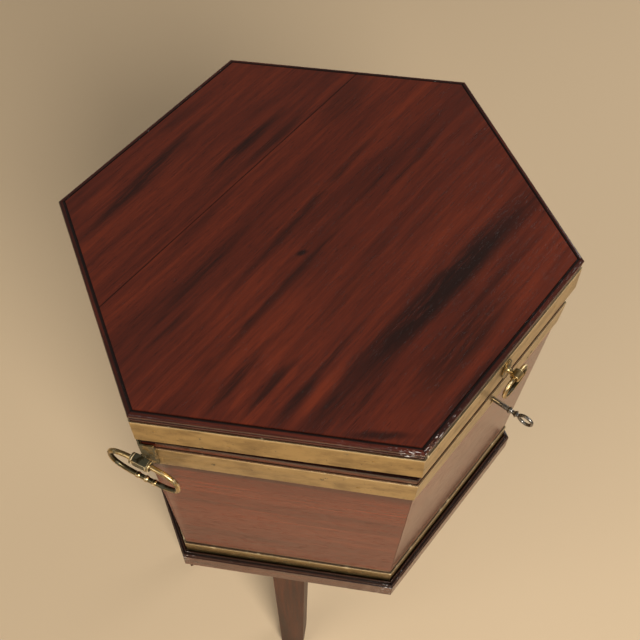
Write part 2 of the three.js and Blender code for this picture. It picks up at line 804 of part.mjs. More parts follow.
// Oval bail with three turned beads in the middle of its lower bar.
function bailShape() {
  const ring = ovalRing(bailWidth, bailHeight, bailBar, bailSquareness, bailSteps, barFacets);
  ring.translate(0, -bailHeight / 2, 0);
  const beads = [-bailBeadSpacing, 0, bailBeadSpacing].map((x) => {
    const bead = new THREE.SphereGeometry(bailBeadRadius, barFacets, barFacets / 2);
    return bead.rotateZ(Math.PI / 2).translate(x, -bailHeight, 0);
  });
  return join(ring, ...beads);
}

function addHandles() {
  [['left', Math.PI, handleSkew], ['right', 0, -handleSkew]].forEach(([side, turn, skew]) => {
    const handle = new THREE.Group();
    handle.position.set(handleCorner() * Math.cos(turn), 0, handleLevel);
    handle.rotation.z = turn;
    cellarette.add(handle);
    addPiece(`handle_bracket_${side}`, handleBracketShape(skew), materials.brass, handle);
    const bail = addPiece(`handle_bail_${side}`, bailShape(), materials.brass, handle);
    bail.position.set(handleStandOff * Math.cos(skew), handleStandOff * Math.sin(skew), 0);
    bail.rotation.set(Math.PI / 2, 0, Math.PI / 2 + skew, 'ZYX');
  });
}

// LIFTING RING

// Oval plate on the lid's band with a neck and a round eye.
function ringBracketShape() {
  const outline = new THREE.Shape();
  outline.absellipse(0, 0, ringPlateWidth / 2, ringPlateHeight / 2, 0, 2 * Math.PI);
  const options = { depth: ringPlateThickness, bevelEnabled: false, curveSegments: smallFacets };
  const plate = new THREE.ExtrudeGeometry(outline, options).rotateX(Math.PI / 2).translate(0, -glueGap, 0);
  const start = glueGap + ringPlateThickness / 2;
  const neck = barAlong('y', ringNeckRadius, ringStandOff - start, smallFacets);
  neck.translate(0, -(ringStandOff + start) / 2, 0);
  const eye = barAlong('x', ringEyeRadius, ringEyeLength).translate(0, -ringStandOff, 0);
  const bore = barAlong('x', ringBar + ringPlay, ringEyeLength + cutOverrun).translate(0, -ringStandOff, 0);
  return cut(join(plate, neck, eye), bore);
}

function addLiftingRing() {
  const bracket = addPiece('lid_ring_bracket', ringBracketShape(), materials.brass, lid);
  bracket.position.set(0, -lidReach, (lidBandBottom + lidBandTop) / 2);
  const ringSolid = ovalRing(ringWidth, ringHeight, ringBar, bailSquareness, ringSteps, barFacets);
  const ring = addPiece('lid_ring', ringSolid.translate(0, -ringHeight / 2, 0), materials.brass, lid);
  ring.position.set(0, -lidReach - ringStandOff, bracket.position.z);
  ring.rotation.x = Math.PI / 2;
}

addStand();
addCase();
addLid();
addHinges();
addLock();
addHandles();
addLiftingRing();

export default cellarette;
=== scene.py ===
"""Dresses the hexagonal brass-bound mahogany cellarette.

Its wood, brass, lead and lock are made here, and the stage that it stands on.
"""

import json
import math
from functools import partial

import bmesh
import bpy
from bpy.props import FloatProperty, FloatVectorProperty, PointerProperty
from mathutils import Matrix, Vector, noise


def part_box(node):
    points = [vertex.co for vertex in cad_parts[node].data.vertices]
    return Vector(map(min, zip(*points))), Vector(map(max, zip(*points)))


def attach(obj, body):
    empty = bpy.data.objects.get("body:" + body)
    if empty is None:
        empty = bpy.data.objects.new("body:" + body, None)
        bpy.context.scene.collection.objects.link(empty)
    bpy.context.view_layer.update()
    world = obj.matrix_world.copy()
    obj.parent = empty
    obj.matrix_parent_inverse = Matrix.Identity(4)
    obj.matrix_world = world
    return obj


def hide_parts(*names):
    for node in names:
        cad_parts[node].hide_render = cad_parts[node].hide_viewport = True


bl_info = {
    "name": "Mahogany cellarette",
    "version": (1, 0, 0),
    "blender": (4, 5, 0),
    "location": "3D View > Sidebar > Cellarette",
    "description": "Builds the dressed pieces of a hexagonal brass-bound cellarette on its stand",
    "category": "Object",
}

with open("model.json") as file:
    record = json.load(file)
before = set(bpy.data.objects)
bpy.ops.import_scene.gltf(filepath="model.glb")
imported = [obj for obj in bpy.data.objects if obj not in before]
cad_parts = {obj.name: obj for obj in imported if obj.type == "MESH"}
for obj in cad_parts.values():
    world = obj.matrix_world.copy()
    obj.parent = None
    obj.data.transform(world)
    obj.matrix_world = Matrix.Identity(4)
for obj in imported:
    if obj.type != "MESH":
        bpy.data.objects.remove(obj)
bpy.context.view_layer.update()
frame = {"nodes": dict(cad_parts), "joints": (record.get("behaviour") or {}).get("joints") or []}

MM = 0.001
SIDES = ("front", "front_right", "back_right", "back", "back_left", "front_left")
OBLIQUE = ("front_right", "back_right", "back_left", "front_left")
SIDE_TURN = math.radians(60)
MITRE = math.radians(30)
JOINTS = {joint["name"]: joint for joint in frame["joints"]}


def middle_of(node):
    low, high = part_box(node)
    return (low + high) / 2


CENTRE = Vector((0, middle_of("case_base").y, 0))

# The lid is ajar at rest. OPENED turns it there from shut, and SHUT turns it back.
HINGE = Vector(JOINTS["lid_hinge"]["pos_m"])
AJAR = math.radians(-JOINTS["lid_hinge"]["range_deg"][0])
OPENED = Matrix.Translation(HINGE) @ Matrix.Rotation(-AJAR, 4, "X") @ Matrix.Translation(-HINGE)
SHUT = OPENED.inverted()


def shut_levels(node):
    """The lowest and highest reach and height of a piece of the lid, as the lid stands when it is shut."""
    places = [SHUT @ vertex.co - CENTRE for vertex in frame["nodes"][node].data.vertices]
    return (
        min(-place.y for place in places), max(-place.y for place in places),
        min(place.z for place in places), max(place.z for place in places),
    )


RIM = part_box("lock_case")[1].z
LID_BOTTOM = shut_levels("lid_side_front")[2]


# ---- Sizes and colours that a user would change


def length(name, text, default):
    return FloatProperty(name=name, description=text, default=default * MM, min=0, unit="LENGTH", precision=5)


def share(name, text, default):
    return FloatProperty(name=name, description=text, default=default, min=0, max=1, subtype="FACTOR")


def colour(name, text, default):
    return FloatVectorProperty(
        name=name, description=text, default=default, min=0, max=1, size=3, subtype="COLOR"
    )


def power(name, text, default):
    return FloatProperty(name=name, description=text, default=default, min=0, unit="POWER")


class CellaretteWood(bpy.types.PropertyGroup):
    """Colours and gloss of the mahogany."""

    top_dark: colour("Top, dark", "Darkest grain of the lid's boards", (0.018, 0.0050, 0.0035))
    top_red: colour("Top, red", "Usual colour of the lid's boards", (0.072, 0.0122, 0.0058))
    top_amber: colour("Top, amber", "Lightest figure of the lid's boards", (0.150, 0.0235, 0.0080))
    # Also the colour of the painted shade in the wood's belts and hollows.
    top_streak_and_shade: colour("Top, streak", "Nearly black streaks along the lid", (0.0075, 0.0035, 0.0028))
    case_dark: colour("Case, dark", "Darkest grain of the case", (0.056, 0.0095, 0.0042))
    case_red: colour("Case, red", "Usual colour of the case", (0.101, 0.0138, 0.0049))
    case_amber: colour("Case, amber", "Lightest figure of the case", (0.159, 0.0265, 0.0090))
    stand_dark: colour("Stand, dark", "Darkest grain of the stand", (0.015, 0.0042, 0.0026))
    stand_red: colour("Stand, red", "Usual colour of the stand", (0.048, 0.0122, 0.0058))
    stand_amber: colour("Stand, amber", "Lightest figure of the stand", (0.092, 0.0260, 0.0115))
    bare: colour("Bare wood", "Wood where the polish has chipped off", (0.170, 0.072, 0.0370))
    gloss: share("Polish", "Strength of the clear polish over the wood", 0.2)


class CellaretteMetal(bpy.types.PropertyGroup):
    """Colours of the metalwork."""

    brass_bright: colour("Brass, bright", "Brass that hands have rubbed", (0.800, 0.640, 0.380))
    brass: colour("Brass", "Clean brass", (0.490, 0.350, 0.160))
    brass_dull: colour("Brass, dull", "Brass with its brown tarnish", (0.300, 0.205, 0.090))
    brass_old: colour("Brass, old", "Green-black dirt in the hollows of the brass", (0.040, 0.038, 0.022))
    steel: colour("Steel", "Dark rubbed steel of the key and bolt", (0.200, 0.185, 0.165))
    lead: colour("Lead", "Dull sheet lead", (0.210, 0.220, 0.230))


class CellaretteShape(bpy.types.PropertyGroup):
    """Sizes of the small forms."""

    soft_edge: length("Softened edge", "Bevel on the wooden edges", 0.5)
    crisp_edge: length("Crisp edge", "Bevel on the edges of the metalwork", 0.22)
    wear_depth: length("Wear", "How deep the beads are worn", 0.45)
    upper_bead: length("Upper bead", "Radius of the bead at the lid's top edge", 3.2)
    bead_ease: length("Bead ease", "Fall of the lid's beads below its boards", 0.3)
    bead_set: length("Bead set", "How far the lid's lower bead stands back", 0.8)
    bead_groove: length("Bead groove", "Groove between the lid's two beads", 0.6)
    quirk_width: length("Quirk width", "Width of the groove beside the boards", 1.1)
    quirk_depth: length("Quirk depth", "Depth of the groove beside the boards", 1.2)
    stand_outer: length("Stand bead", "Radius of the stand moulding's outer bead", 2.4)
    stand_inner: length("Stand inner bead", "Radius of the stand moulding's inner bead", 1.4)
    bail_bar: length("Bail bar", "Radius of the carrying bails", 2.5)
    bail_bead: length("Bail bead", "Radius of the beads on the bails", 3.3)
    bail_pitch: length("Bail bead pitch", "Distance between the beads on the bails", 9)
    ring_bar: length("Ring bar", "Radius of the lifting ring's bar", 2)
    pin_head: length("Pin head", "Radius of the pins that hold the brass bands", 2.1)
    screw_head: length("Screw head", "Radius of the screw heads", 2.7)


class CellaretteStage(bpy.types.PropertyGroup):
    """Floor, light and camera."""

    floor: colour("Floor", "Colour of the plain floor", (0.600, 0.455, 0.290))
    sky: colour("Surroundings", "Colour of the soft light all round", (1.0, 0.955, 0.88))
    sky_strength: FloatProperty(
        name="Surroundings", description="Strength of the light all round", default=0.15, min=0
    )
    key_power: power("Main light", "Power of the main soft light", 100)
    left_power: power("Left light", "Power of the light at the left", 34)
    right_power: power("Right light", "Power of the light at the right", 40)
    lens: FloatProperty(
        name="Lens", description="Focal length on a sensor 36 mm wide", default=56.11, min=1, unit="CAMERA"
    )


GROUPS = {
    "cellarette_wood": CellaretteWood,
    "cellarette_metal": CellaretteMetal,
    "cellarette_shape": CellaretteShape,
    "cellarette_stage": CellaretteStage,
}


# ---- Materials


class Wire:
    """An output of a material's node, that sums can be written with."""

    def __init__(self, recipe, socket):
        self.recipe = recipe
        self.socket = socket

    def _sum(self, operation, first, second):
        return self.recipe.node("Math", {"operation": operation}, {0: first, 1: second})

    def __add__(self, other):
        return self._sum("ADD", self, other)

    def __radd__(self, other):
        return self._sum("ADD", other, self)

    def __sub__(self, other):
        return self._sum("SUBTRACT", self, other)

    def __rsub__(self, other):
        return self._sum("SUBTRACT", other, self)

    def __mul__(self, other):
        return self._sum("MULTIPLY", self, other)

    def __rmul__(self, other):
        return self._sum("MULTIPLY", other, self)

    def larger(self, other):
        return self._sum("MAXIMUM", self, other)


class Recipe:
    """A material being made, with one method that adds any node."""

    def __init__(self, name):
        self.material = bpy.data.materials.new(name)
        self.material.use_nodes = True
        self.tree = self.material.node_tree
        self.tree.nodes.clear()

    def node(self, kind, settings=None, inputs=None, output=0):
        """Adds a node from its type, its settings and the values or links of its sockets."""
        node = self.tree.nodes.new(f"ShaderNode{kind}")
        for name, value in (settings or {}).items():
            if name == "stops":
                self._fill_ramp(node.color_ramp, value)
            else:
                setattr(node, name, value)
        for name, value in (inputs or {}).items():
            socket = node.inputs[name]
            if isinstance(value, Wire):
                self.tree.links.new(value.socket, socket)
            elif socket.type == "RGBA":
                socket.default_value = (*value, 1)
            else:
                socket.default_value = value
        return Wire(self, node.outputs[output]) if len(node.outputs) else None

    @staticmethod
    def _fill_ramp(ramp, stops):
        while len(ramp.elements) < len(stops):
            ramp.elements.new(1)
        for element, (place, shade) in zip(ramp.elements, stops):
            element.position = place
            element.color = (*shade, 1)

    def object_place(self):
        return self.node("TexCoord", output="Object")

    def attribute(self, name, output="Vector"):
        return self.node("Attribute", {"attribute_name": name}, output=output)

    def stretched(self, place, factors):
        return self.node("VectorMath", {"operation": "MULTIPLY"}, {0: place, 1: factors})

    def moved(self, place, by):
        return self.node("VectorMath", {"operation": "ADD"}, {0: place, 1: by})

    def grains(self, place, factors, detail=2.0, rough=0.5):
        """Soft noise from 0 to 1, with this many grains a metre along each axis."""
        coarse = self.stretched(place, factors)
        inputs = {"Vector": coarse, "Scale": 1.0, "Detail": detail, "Roughness": rough}
        return self.node("TexNoise", {}, inputs)

    def eased(self, value, low, high, to_low=0.0, to_high=1.0):
        """A value turned smoothly from one range to another, and held at its ends."""
        inputs = {"Value": value, "From Min": low, "From Max": high, "To Min": to_low, "To Max": to_high}
        return self.node("MapRange", {"interpolation_type": "SMOOTHSTEP"}, inputs)

    def mixed(self, share_of_second, first, second):
        """Two colours mixed. The node's sockets for them share their names with others."""
        factor, first_colour, second_colour, mixed_colour = 0, 6, 7, 2
        inputs = {factor: share_of_second, first_colour: first, second_colour: second}
        return self.node("Mix", {"data_type": "RGBA"}, inputs, output=mixed_colour)

    def ramp(self, value, *stops):
        return self.node("ValToRGB", {"stops": stops}, {"Fac": value})

    def spot(self, place, middle, reach, turn=0.0, core=0.2):
        """1 in the middle of an ellipsoid of these half sizes, falling to 0 at its edge."""
        inputs = {"Vector": place, "Location": middle, "Rotation": (0, 0, turn), "Scale": reach}
        local = self.node("Mapping", {"vector_type": "TEXTURE"}, inputs)
        distance = self.node("VectorMath", {"operation": "LENGTH"}, {0: local}, output="Value")
        return self.eased(distance, core, 1.0, 1.0, 0.0)

    def bumped(self, height, depth):
        return self.node("Bump", {}, {"Height": height, "Distance": depth, "Strength": 1.0})

    def finished(self, **surface):
        """Joins a surface to the output. Its values are named as the shader's sockets are."""
        inputs = {
            name.replace("_", " ").title().replace("Ior", "IOR"): value for name, value in surface.items()
        }
        shader = self.node("BsdfPrincipled", {}, inputs)
        self.node("OutputMaterial", {}, {"Surface": shader})
        return self.material


def wood_shades(part):
    """The darkest, usual and lightest colour of the mahogany of a part: top, case or stand."""
    wood = bpy.context.scene.cellarette_wood
    return [tuple(getattr(wood, f"{part}_{tone}")) for tone in ("dark", "red", "amber")]


def scaled(shade, factor):
    return [part * factor for part in shade]


def mahogany(recipe, place, shades, ribbon=0.5, contrast=1.0):
    """Long-grained mahogany with broad ribbons, fine figure and short dark pores.

    Gives its colour, its pores and its figure.
    """
    dark, red, amber = shades
    drift = recipe.grains(place, (3.0, 11.0, 11.0)) * 0.012
    bent = recipe.moved(place, recipe.node("CombineXYZ", {}, {"X": 0.0, "Y": drift, "Z": drift}))
    ribbons = recipe.grains(bent, (1.6, 20.0, 20.0), detail=3.0)
    figure = recipe.grains(bent, (7.0, 150.0, 150.0), detail=4.0, rough=0.62)
    hair = recipe.grains(bent, (28.0, 900.0, 900.0), detail=2.0, rough=0.6)
    pores = recipe.eased(recipe.grains(bent, (85.0, 1900.0, 1900.0), detail=1.0), 0.60, 0.74)
    tone = ribbons * ribbon + figure * (0.8 - ribbon) + hair * 0.2
    spread = 0.13 / contrast
    shade = recipe.ramp(tone, (0.5 - spread, dark), (0.5, red), (0.5 + spread, amber))
    return recipe.mixed(pores * 0.55, shade, scaled(dark, 0.35)), pores, figure


# Dark streaks and light flames of the lid: start and end, measured from the middle of the lid in metres
# with the first number along the grain, then width and strength.
LID_STREAKS = (
    ((-0.205, -0.1225), (0.240, -0.1430), 0.046, 0.90),
    ((-0.190, -0.1010), (-0.030, -0.0990), 0.014, 0.60),
    ((-0.165, -0.1320), (-0.080, -0.1320), 0.010, 0.55),
    ((-0.160, -0.1470), (-0.070, -0.1470), 0.010, 0.50),
    ((-0.080, -0.1660), (0.160, -0.1640), 0.018, 0.40),
    ((-0.225, -0.0260), (0.075, -0.0140), 0.012, 0.60),
    ((0.030, -0.0290), (0.220, -0.0170), 0.010, 0.50),
    ((-0.170, 0.0090), (0.220, 0.0340), 0.012, 0.62),
    ((-0.215, 0.0300), (-0.120, 0.0300), 0.012, 0.50),
    ((-0.205, 0.0490), (0.020, 0.0510), 0.013, 0.55),
    ((0.090, 0.0780), (0.215, 0.0830), 0.042, 0.45),
    ((0.000, 0.1030), (0.140, 0.1050), 0.012, 0.50),
    ((-0.040, 0.1220), (0.130, 0.1230), 0.015, 0.80),
    ((-0.180, 0.1600), (0.080, 0.1820), 0.020, 0.78),
    ((-0.020, 0.1990), (0.080, 0.2010), 0.022, 0.35),
    ((-0.215, -0.0460), (-0.090, -0.0450), 0.010, 0.45),
    ((-0.120, 0.0900), (-0.020, 0.0880), 0.012, 0.35),
    ((-0.150, -0.0700), (0.060, -0.0640), 0.014, 0.30),
    ((-0.158, -0.1450), (-0.110, -0.2080), 0.012, 0.75),
    ((-0.130, -0.2080), (0.030, -0.2080), 0.010, 0.60),
    ((-0.225, -0.0520), (-0.120, -0.0480), 0.013, 0.75),
    ((-0.212, -0.0780), (-0.100, -0.0740), 0.013, 0.75),
    ((-0.200, -0.1040), (-0.090, -0.1000), 0.014, 0.75),
    ((-0.185, -0.1280), (-0.100, -0.1250), 0.012, 0.70),
    ((-0.130, -0.1830), (0.090, -0.1800), 0.045, 0.70),
)
LID_LIGHTS = (
    ((-0.230, -0.030), (-0.030, -0.026), 0.150, 0.45),
    ((0.010, -0.151), (0.130, -0.149), 0.026, 0.45),
    ((0.000, -0.097), (0.190, -0.096), 0.009, 0.45),
    ((0.080, 0.019), (0.235, 0.031), 0.022, 0.35),
    ((-0.140, 0.183), (-0.060, 0.184), 0.020, 0.40),
    ((-0.020, -0.016), (0.080, -0.013), 0.010, 0.45),
    ((-0.160, -0.166), (-0.040, -0.163), 0.024, 0.40),
    ((-0.224, -0.0640), (-0.080, -0.0590), 0.018, 0.75),
    ((-0.210, -0.0905), (-0.070, -0.0860), 0.018, 0.75),
    ((-0.196, -0.1160), (-0.060, -0.1100), 0.020, 0.75),
    ((-0.180, -0.1400), (-0.090, -0.1370), 0.016, 0.65),
)


def lid_marks(recipe, place, marks):
    """The strongest of a list of long soft marks at a place on the lid."""
    strongest = None
    for (x0, y0), (x1, y1), width, strength in marks:
        middle = ((x0 + x1) / 2, (y0 + y1) / 2, 0)
        reach = (math.hypot(x1 - x0, y1 - y0) / 2, width / 2, 1000.0)
        mask = recipe.spot(place, middle, reach, math.atan2(y1 - y0, x1 - x0)) * strength
        strongest = mask if strongest is None else strongest.larger(mask)
    return strongest


def lid_top_finish(name):
    wood = bpy.context.scene.cellarette_wood
    recipe = Recipe(name)
    grain = recipe.attribute("grain")
    shade, pores, figure = mahogany(recipe, grain, wood_shades("top"), ribbon=0.42, contrast=0.62)
    ragged = recipe.grains(grain, (9.0, 60.0, 60.0), detail=4.0, rough=0.65)
    fray = recipe.grains(grain, (30.0, 330.0, 330.0), detail=3.0, rough=0.6)
    sway = recipe.node("CombineXYZ", {}, {"X": 0.0, "Y": ragged * 0.014 - 0.007, "Z": 0.0})
    swayed = recipe.moved(grain, sway)
    amber = lid_marks(recipe, swayed, LID_LIGHTS) * recipe.eased(ragged, 0.40, 0.60)
    shade = recipe.mixed(amber, shade, tuple(wood.top_amber))
    torn = fray * 0.55 + ragged * 0.45
    dark = lid_marks(recipe, swayed, LID_STREAKS) * recipe.eased(torn, 0.34, 0.52, 0.35, 1.0)
    shade = recipe.mixed(dark, shade, tuple(wood.top_streak_and_shade))
    knot = recipe.spot(grain, (-0.029, -0.008, 0.0), (0.008, 0.004, 1000.0), math.radians(-25), core=0.3)
    shade = recipe.mixed(knot * 0.85, shade, tuple(wood.top_streak_and_shade))
    joint = -shut_levels("lid_board_back")[1]
    line = recipe.spot(grain, (0.0, joint, 0.0), (10.0, 0.0012, 1000.0), core=0.3)
    shade = recipe.mixed(line * 0.6, shade, scaled(wood.top_streak_and_shade, 0.4))
    smear = recipe.grains(grain, (5.0, 7.0, 7.0), detail=3.0)
    return recipe.finished(
        base_color=shade,
        roughness=recipe.eased(smear, 0.3, 0.7, 0.20, 0.28) + figure * 0.06,
        specular_ior_level=0.38,
        coat_weight=wood.gloss,
        coat_roughness=0.12,
        normal=recipe.bumped(pores * -1.0 + figure * 0.6, 0.00006),
    )


def worn_wood(name, shades, rough, gloss, shine, ribbon=0.5, speck=0.0, shade_belts=()):
    """Polished mahogany that shows bare wood and pale specks where the `wear` attribute is high.

    Where that is below 0 it is darkened with painted shade, and it has painted shade in belts, each
    given as two heights and a strength.
    """
    wood = bpy.context.scene.cellarette_wood
    pale = (0.62, 0.58, 0.55)
    recipe = Recipe(name)
    grain = recipe.attribute("grain")
    wear = recipe.attribute("wear", output="Fac")
    shade, pores, figure = mahogany(recipe, grain, shades, ribbon)
    chip = recipe.grains(grain, (330.0, 520.0, 520.0), detail=3.0, rough=0.7)
    rubbed = recipe.eased(wear * 0.45 + chip * 0.6, 0.64, 0.80)
    shade = recipe.mixed(rubbed * 0.65, shade, tuple(wood.bare))
    # Painted shade in belts: along the brass bands and the gap under the lid on the case, and along the top
    # of the stand moulding.
    for low, high, strength in shade_belts:
        height = recipe.node("SeparateXYZ", {}, {"Vector": recipe.object_place()}, output="Z")
        ragged = height + recipe.grains(grain, (30.0, 200.0, 200.0), detail=3.0) * 0.003 - 0.0015
        fade = min(0.002, (high - low) * 0.3)
        painted_shade_belt = recipe.eased(ragged, low, low + fade) * recipe.eased(ragged, high - fade, high, 1.0, 0.0)
        shade = recipe.mixed(painted_shade_belt * strength, shade, tuple(wood.top_streak_and_shade))
    dirt = recipe.eased(recipe.grains(grain, (90.0, 420.0, 420.0), detail=3.0, rough=0.6), 0.55, 0.66)
    shade = recipe.mixed(dirt * wear * 0.8, shade, tuple(wood.top_streak_and_shade))
    # Painted shade in the hollows and behind the beads, where the wear attribute is below 0.
    shaded_hollow = recipe.eased(wear * -1.0 + chip * 0.4, 0.25, 0.6)
    shade = recipe.mixed(shaded_hollow * 0.92, shade, scaled(wood.top_streak_and_shade, 0.6))
    flake = recipe.eased(recipe.grains(grain, (240.0, 1000.0, 1000.0), detail=2.0), 0.62, 0.67)
    shade = recipe.mixed(flake * recipe.eased(wear, 0.4, 0.95) * speck, shade, pale)
    return recipe.finished(
        base_color=shade,
        roughness=rough + figure * 0.08 + rubbed * 0.3,
        specular_ior_level=shine,
        coat_weight=gloss,
        coat_roughness=0.12,
        normal=recipe.bumped(pores * -0.6 + chip * wear * 2.0 - rubbed, 0.00012),
    )


def lid_edge_finish(name):
    dark, red, _ = wood_shades("top")
    gloss = bpy.context.scene.cellarette_wood.gloss
    return worn_wood(name, (dark, scaled(red, 0.42), red), 0.13, gloss, 0.5, ribbon=0.3, speck=1.0)


def case_finish(name):
    low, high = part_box("case_lower_band")[1].z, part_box("case_upper_band")[0].z
    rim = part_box("case_upper_band")[1].z
    # Painted shade in belts: at the top of the lower band, below and at the foot of the upper band, at its
    # top edge, and up the rim in the shaded gap under the lid.
    painted_shade_belts = (
        (low - 0.004, low + 0.006, 0.85),
        (high - 0.013, high + 0.003, 0.4),
        (high - 0.003, high + 0.003, 0.8),
        (rim - 0.003, RIM + 0.004, 0.35),
        (rim - 0.003, rim + 0.002, 0.9),
        (RIM - 0.004, RIM + 0.004, 0.9),
    )
    return worn_wood(name, wood_shades("case"), 0.15, 0.0, 0.27, ribbon=0.38, shade_belts=painted_shade_belts)


def stand_finish(name):
    return worn_wood(name, wood_shades("stand"), 0.34, 0.0, 0.12, ribbon=0.35)


def stand_bead_finish(name):
    dark, red, amber = wood_shades("stand")
    shades = (dark, scaled(red, 1.5), scaled(amber, 1.5))
    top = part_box("stand_moulding_front")[1].z
    # Painted shade along the top of the moulding, next to the case that stands on it.
    painted_shade_belts = ((top - 0.009, top + 0.004, 0.75),)
    return worn_wood(name, shades, 0.17, 0.0, 0.4, ribbon=0.35, speck=1.0, shade_belts=painted_shade_belts)


def base_finish(name):
    recipe = Recipe(name)
    shades = ((0.15, 0.08, 0.04), (0.26, 0.15, 0.075), (0.36, 0.23, 0.12))
    shade, pores, figure = mahogany(recipe, recipe.object_place(), shades)
    return recipe.finished(
        base_color=shade, roughness=0.72 + figure * 0.1, normal=recipe.bumped(pores * -1.0, 0.0002)
    )


def brass(name, tarnish, hollows, rough, blotches=()):
    """Aged brass: rubbed colour, brown tarnish in clouds, dark spots, and old dirt in the hollows.

    It is bright where the rub attribute comes near 1, which stands for rubbed brass with a painted
    highlight, and dark where that is below 0, which stands for dirt on the eye blocks' tops and painted
    shade on the rings' inner sides. Blotches are dark too, and each is given as its middle and half sizes.
    """
    metal = bpy.context.scene.cellarette_metal
    recipe = Recipe(name)
    place = recipe.object_place()
    clouds = recipe.grains(place, (34.0, 34.0, 70.0), detail=4.0, rough=0.6)
    dulled = recipe.eased(clouds, 0.5 - tarnish, 0.72)
    shade = recipe.mixed(dulled, tuple(metal.brass), tuple(metal.brass_dull))
    crumbs = recipe.grains(place, (130.0, 130.0, 130.0), detail=4.0, rough=0.65)
    dirt = recipe.eased(crumbs, 0.66 - hollows, 0.74 - hollows)
    shade = recipe.mixed(dirt * 0.85, shade, tuple(metal.brass_old))
    flecks = recipe.eased(recipe.grains(place, (420.0, 420.0, 420.0), detail=2.0), 0.68, 0.74)
    shade = recipe.mixed(flecks * 0.6, shade, tuple(metal.brass_old))
    rub = recipe.attribute("rub", output="Fac")
    # Darker where the rub attribute is below 0: dirt on the eye blocks' tops and painted shade on the rings'
    # inner sides.
    grime_and_shade = recipe.eased(rub * -1.0 + clouds * 0.5, 0.40, 0.75)
    for middle, reach in blotches:
        grime_and_shade = grime_and_shade.larger(recipe.spot(place, middle, reach) * recipe.eased(clouds, 0.36, 0.52))
    shade = recipe.mixed(grime_and_shade * 0.9, shade, tuple(metal.brass_old))
    # Lighter where the rub attribute comes near 1: rubbed brass and a painted highlight on edges and outer
    # sides.
    edge = recipe.eased(rub + dirt * 0.12 - clouds * 0.16, 0.80, 0.92)
    shade = recipe.mixed(edge * 0.85, shade, tuple(metal.brass_bright))
    scratches = recipe.grains(place, (240.0, 240.0, 2600.0), detail=2.0)
    return recipe.finished(
        base_color=shade,
        metallic=1.0 - dirt * 0.5,
        roughness=rough + clouds * 0.14 + dirt * 0.25,
        normal=recipe.bumped(scratches * 0.5 + clouds - dirt, 0.00005),
    )


def brass_band_finish(name):
    reach = (0.016, 0.030, 0.028)
    spots = [(JOINTS[f"{side}_bail_swing"]["pos_m"], reach) for side in ("left", "right")]
    return brass(name, tarnish=0.12, hollows=0.02, rough=0.27, blotches=spots)


def steel_finish(name):
    metal = bpy.context.scene.cellarette_metal
    recipe = Recipe(name)
    place = recipe.object_place()
    brown = (0.035, 0.026, 0.020)
    rust = recipe.eased(recipe.grains(place, (260.0, 260.0, 260.0), detail=4.0, rough=0.65), 0.50, 0.66)
    return recipe.finished(
        base_color=recipe.mixed(rust * 0.8, tuple(metal.steel), brown),
        metallic=0.95,
        roughness=0.26 + rust * 0.3,
        normal=recipe.bumped(rust * -1.0, 0.00006),
    )


def lead_finish(name):
    metal = bpy.context.scene.cellarette_metal
    recipe = Recipe(name)
    place = recipe.object_place()
    white = (0.42, 0.43, 0.43)
    bloom = recipe.grains(place, (22.0, 22.0, 22.0), detail=5.0, rough=0.6)
    marks = recipe.grains(place, (160.0, 160.0, 60.0), detail=3.0)
    return recipe.finished(
        base_color=recipe.mixed(recipe.eased(bloom, 0.42, 0.66), tuple(metal.lead), white),
        metallic=0.7,
        roughness=0.44 + bloom * 0.2,
        normal=recipe.bumped(marks, 0.0004),
    )


# Each surface with the slot that its pieces take and what makes its material.
FINISHES = {
    "lid_top_polish": ("lid_mahogany", lid_top_finish),
    "lid_edge_polish": ("lid_mahogany", lid_edge_finish),
    "case_polish": ("case_mahogany", case_finish),
    "stand_wax": ("stand_mahogany", stand_finish),
    "stand_bead_wax": ("stand_mahogany", stand_bead_finish),
    "base_board": ("base_wood", base_finish),
    "band_brass": ("brass", brass_band_finish),
    "low_band_brass": ("brass", partial(brass, tarnish=0.24, hollows=0.08, rough=0.30)),
    "fitting_brass": ("brass", partial(brass, tarnish=0.16, hollows=0.14, rough=0.24)),
    "dark_brass": ("brass", partial(brass, tarnish=0.30, hollows=0.24, rough=0.30)),
    "rubbed_steel": ("iron", steel_finish),
    "sheet_lead": ("lead", lead_finish),
}


# ---- Mesh helpers


def mesh_of(name, bm):
    mesh = bpy.data.meshes.new(name)
    bm.to_mesh(mesh)
    bm.free()
    return mesh


def linked(name, data):
    """A new object in the scene."""
    thing = bpy.data.objects.new(name, data)
    bpy.context.scene.collection.objects.link(thing)
    return thing


def settle(name, bm, body, surface, stands_for=(), edge=0.0, sharp=35):
    """Makes a piece of a finished bmesh, rides it on its body and gives it its material."""
    slot, make = FINISHES[surface]
    mesh = mesh_of(name, bm)
    mesh.shade_smooth()
    mesh.set_sharp_from_angle(angle=math.radians(sharp))
    mesh.materials.append(bpy.data.materials.get(surface) or make(surface))
    piece = linked(name, mesh)
    if edge:
        bevel = piece.modifiers.new("edges", "BEVEL")
        bevel.width = edge
        bevel.segments = 2
        bevel.limit_method = "ANGLE"
        bevel.angle_limit = math.radians(sharp)
        bevel.harden_normals = True
    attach(piece, body)
    if stands_for:
        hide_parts(*stands_for)
    return piece


def face_outward(bm):
    bmesh.ops.recalc_face_normals(bm, faces=bm.faces[:])


def sliced(bm, place, normal, **options):
    """Cuts everything in a bmesh along a plane."""
    everything = bm.verts[:] + bm.edges[:] + bm.faces[:]
    bmesh.ops.bisect_plane(bm, geom=everything, plane_co=place, plane_no=normal, **options)


def pulled(bm, faces, by):
    """Extrudes faces by a vector and gives the corners that moved."""
    grown = bmesh.ops.extrude_face_region(bm, geom=faces)["geom"]
    moved = [item for item in grown if isinstance(item, bmesh.types.BMVert)]
    bmesh.ops.translate(bm, verts=moved, vec=by)
    return moved


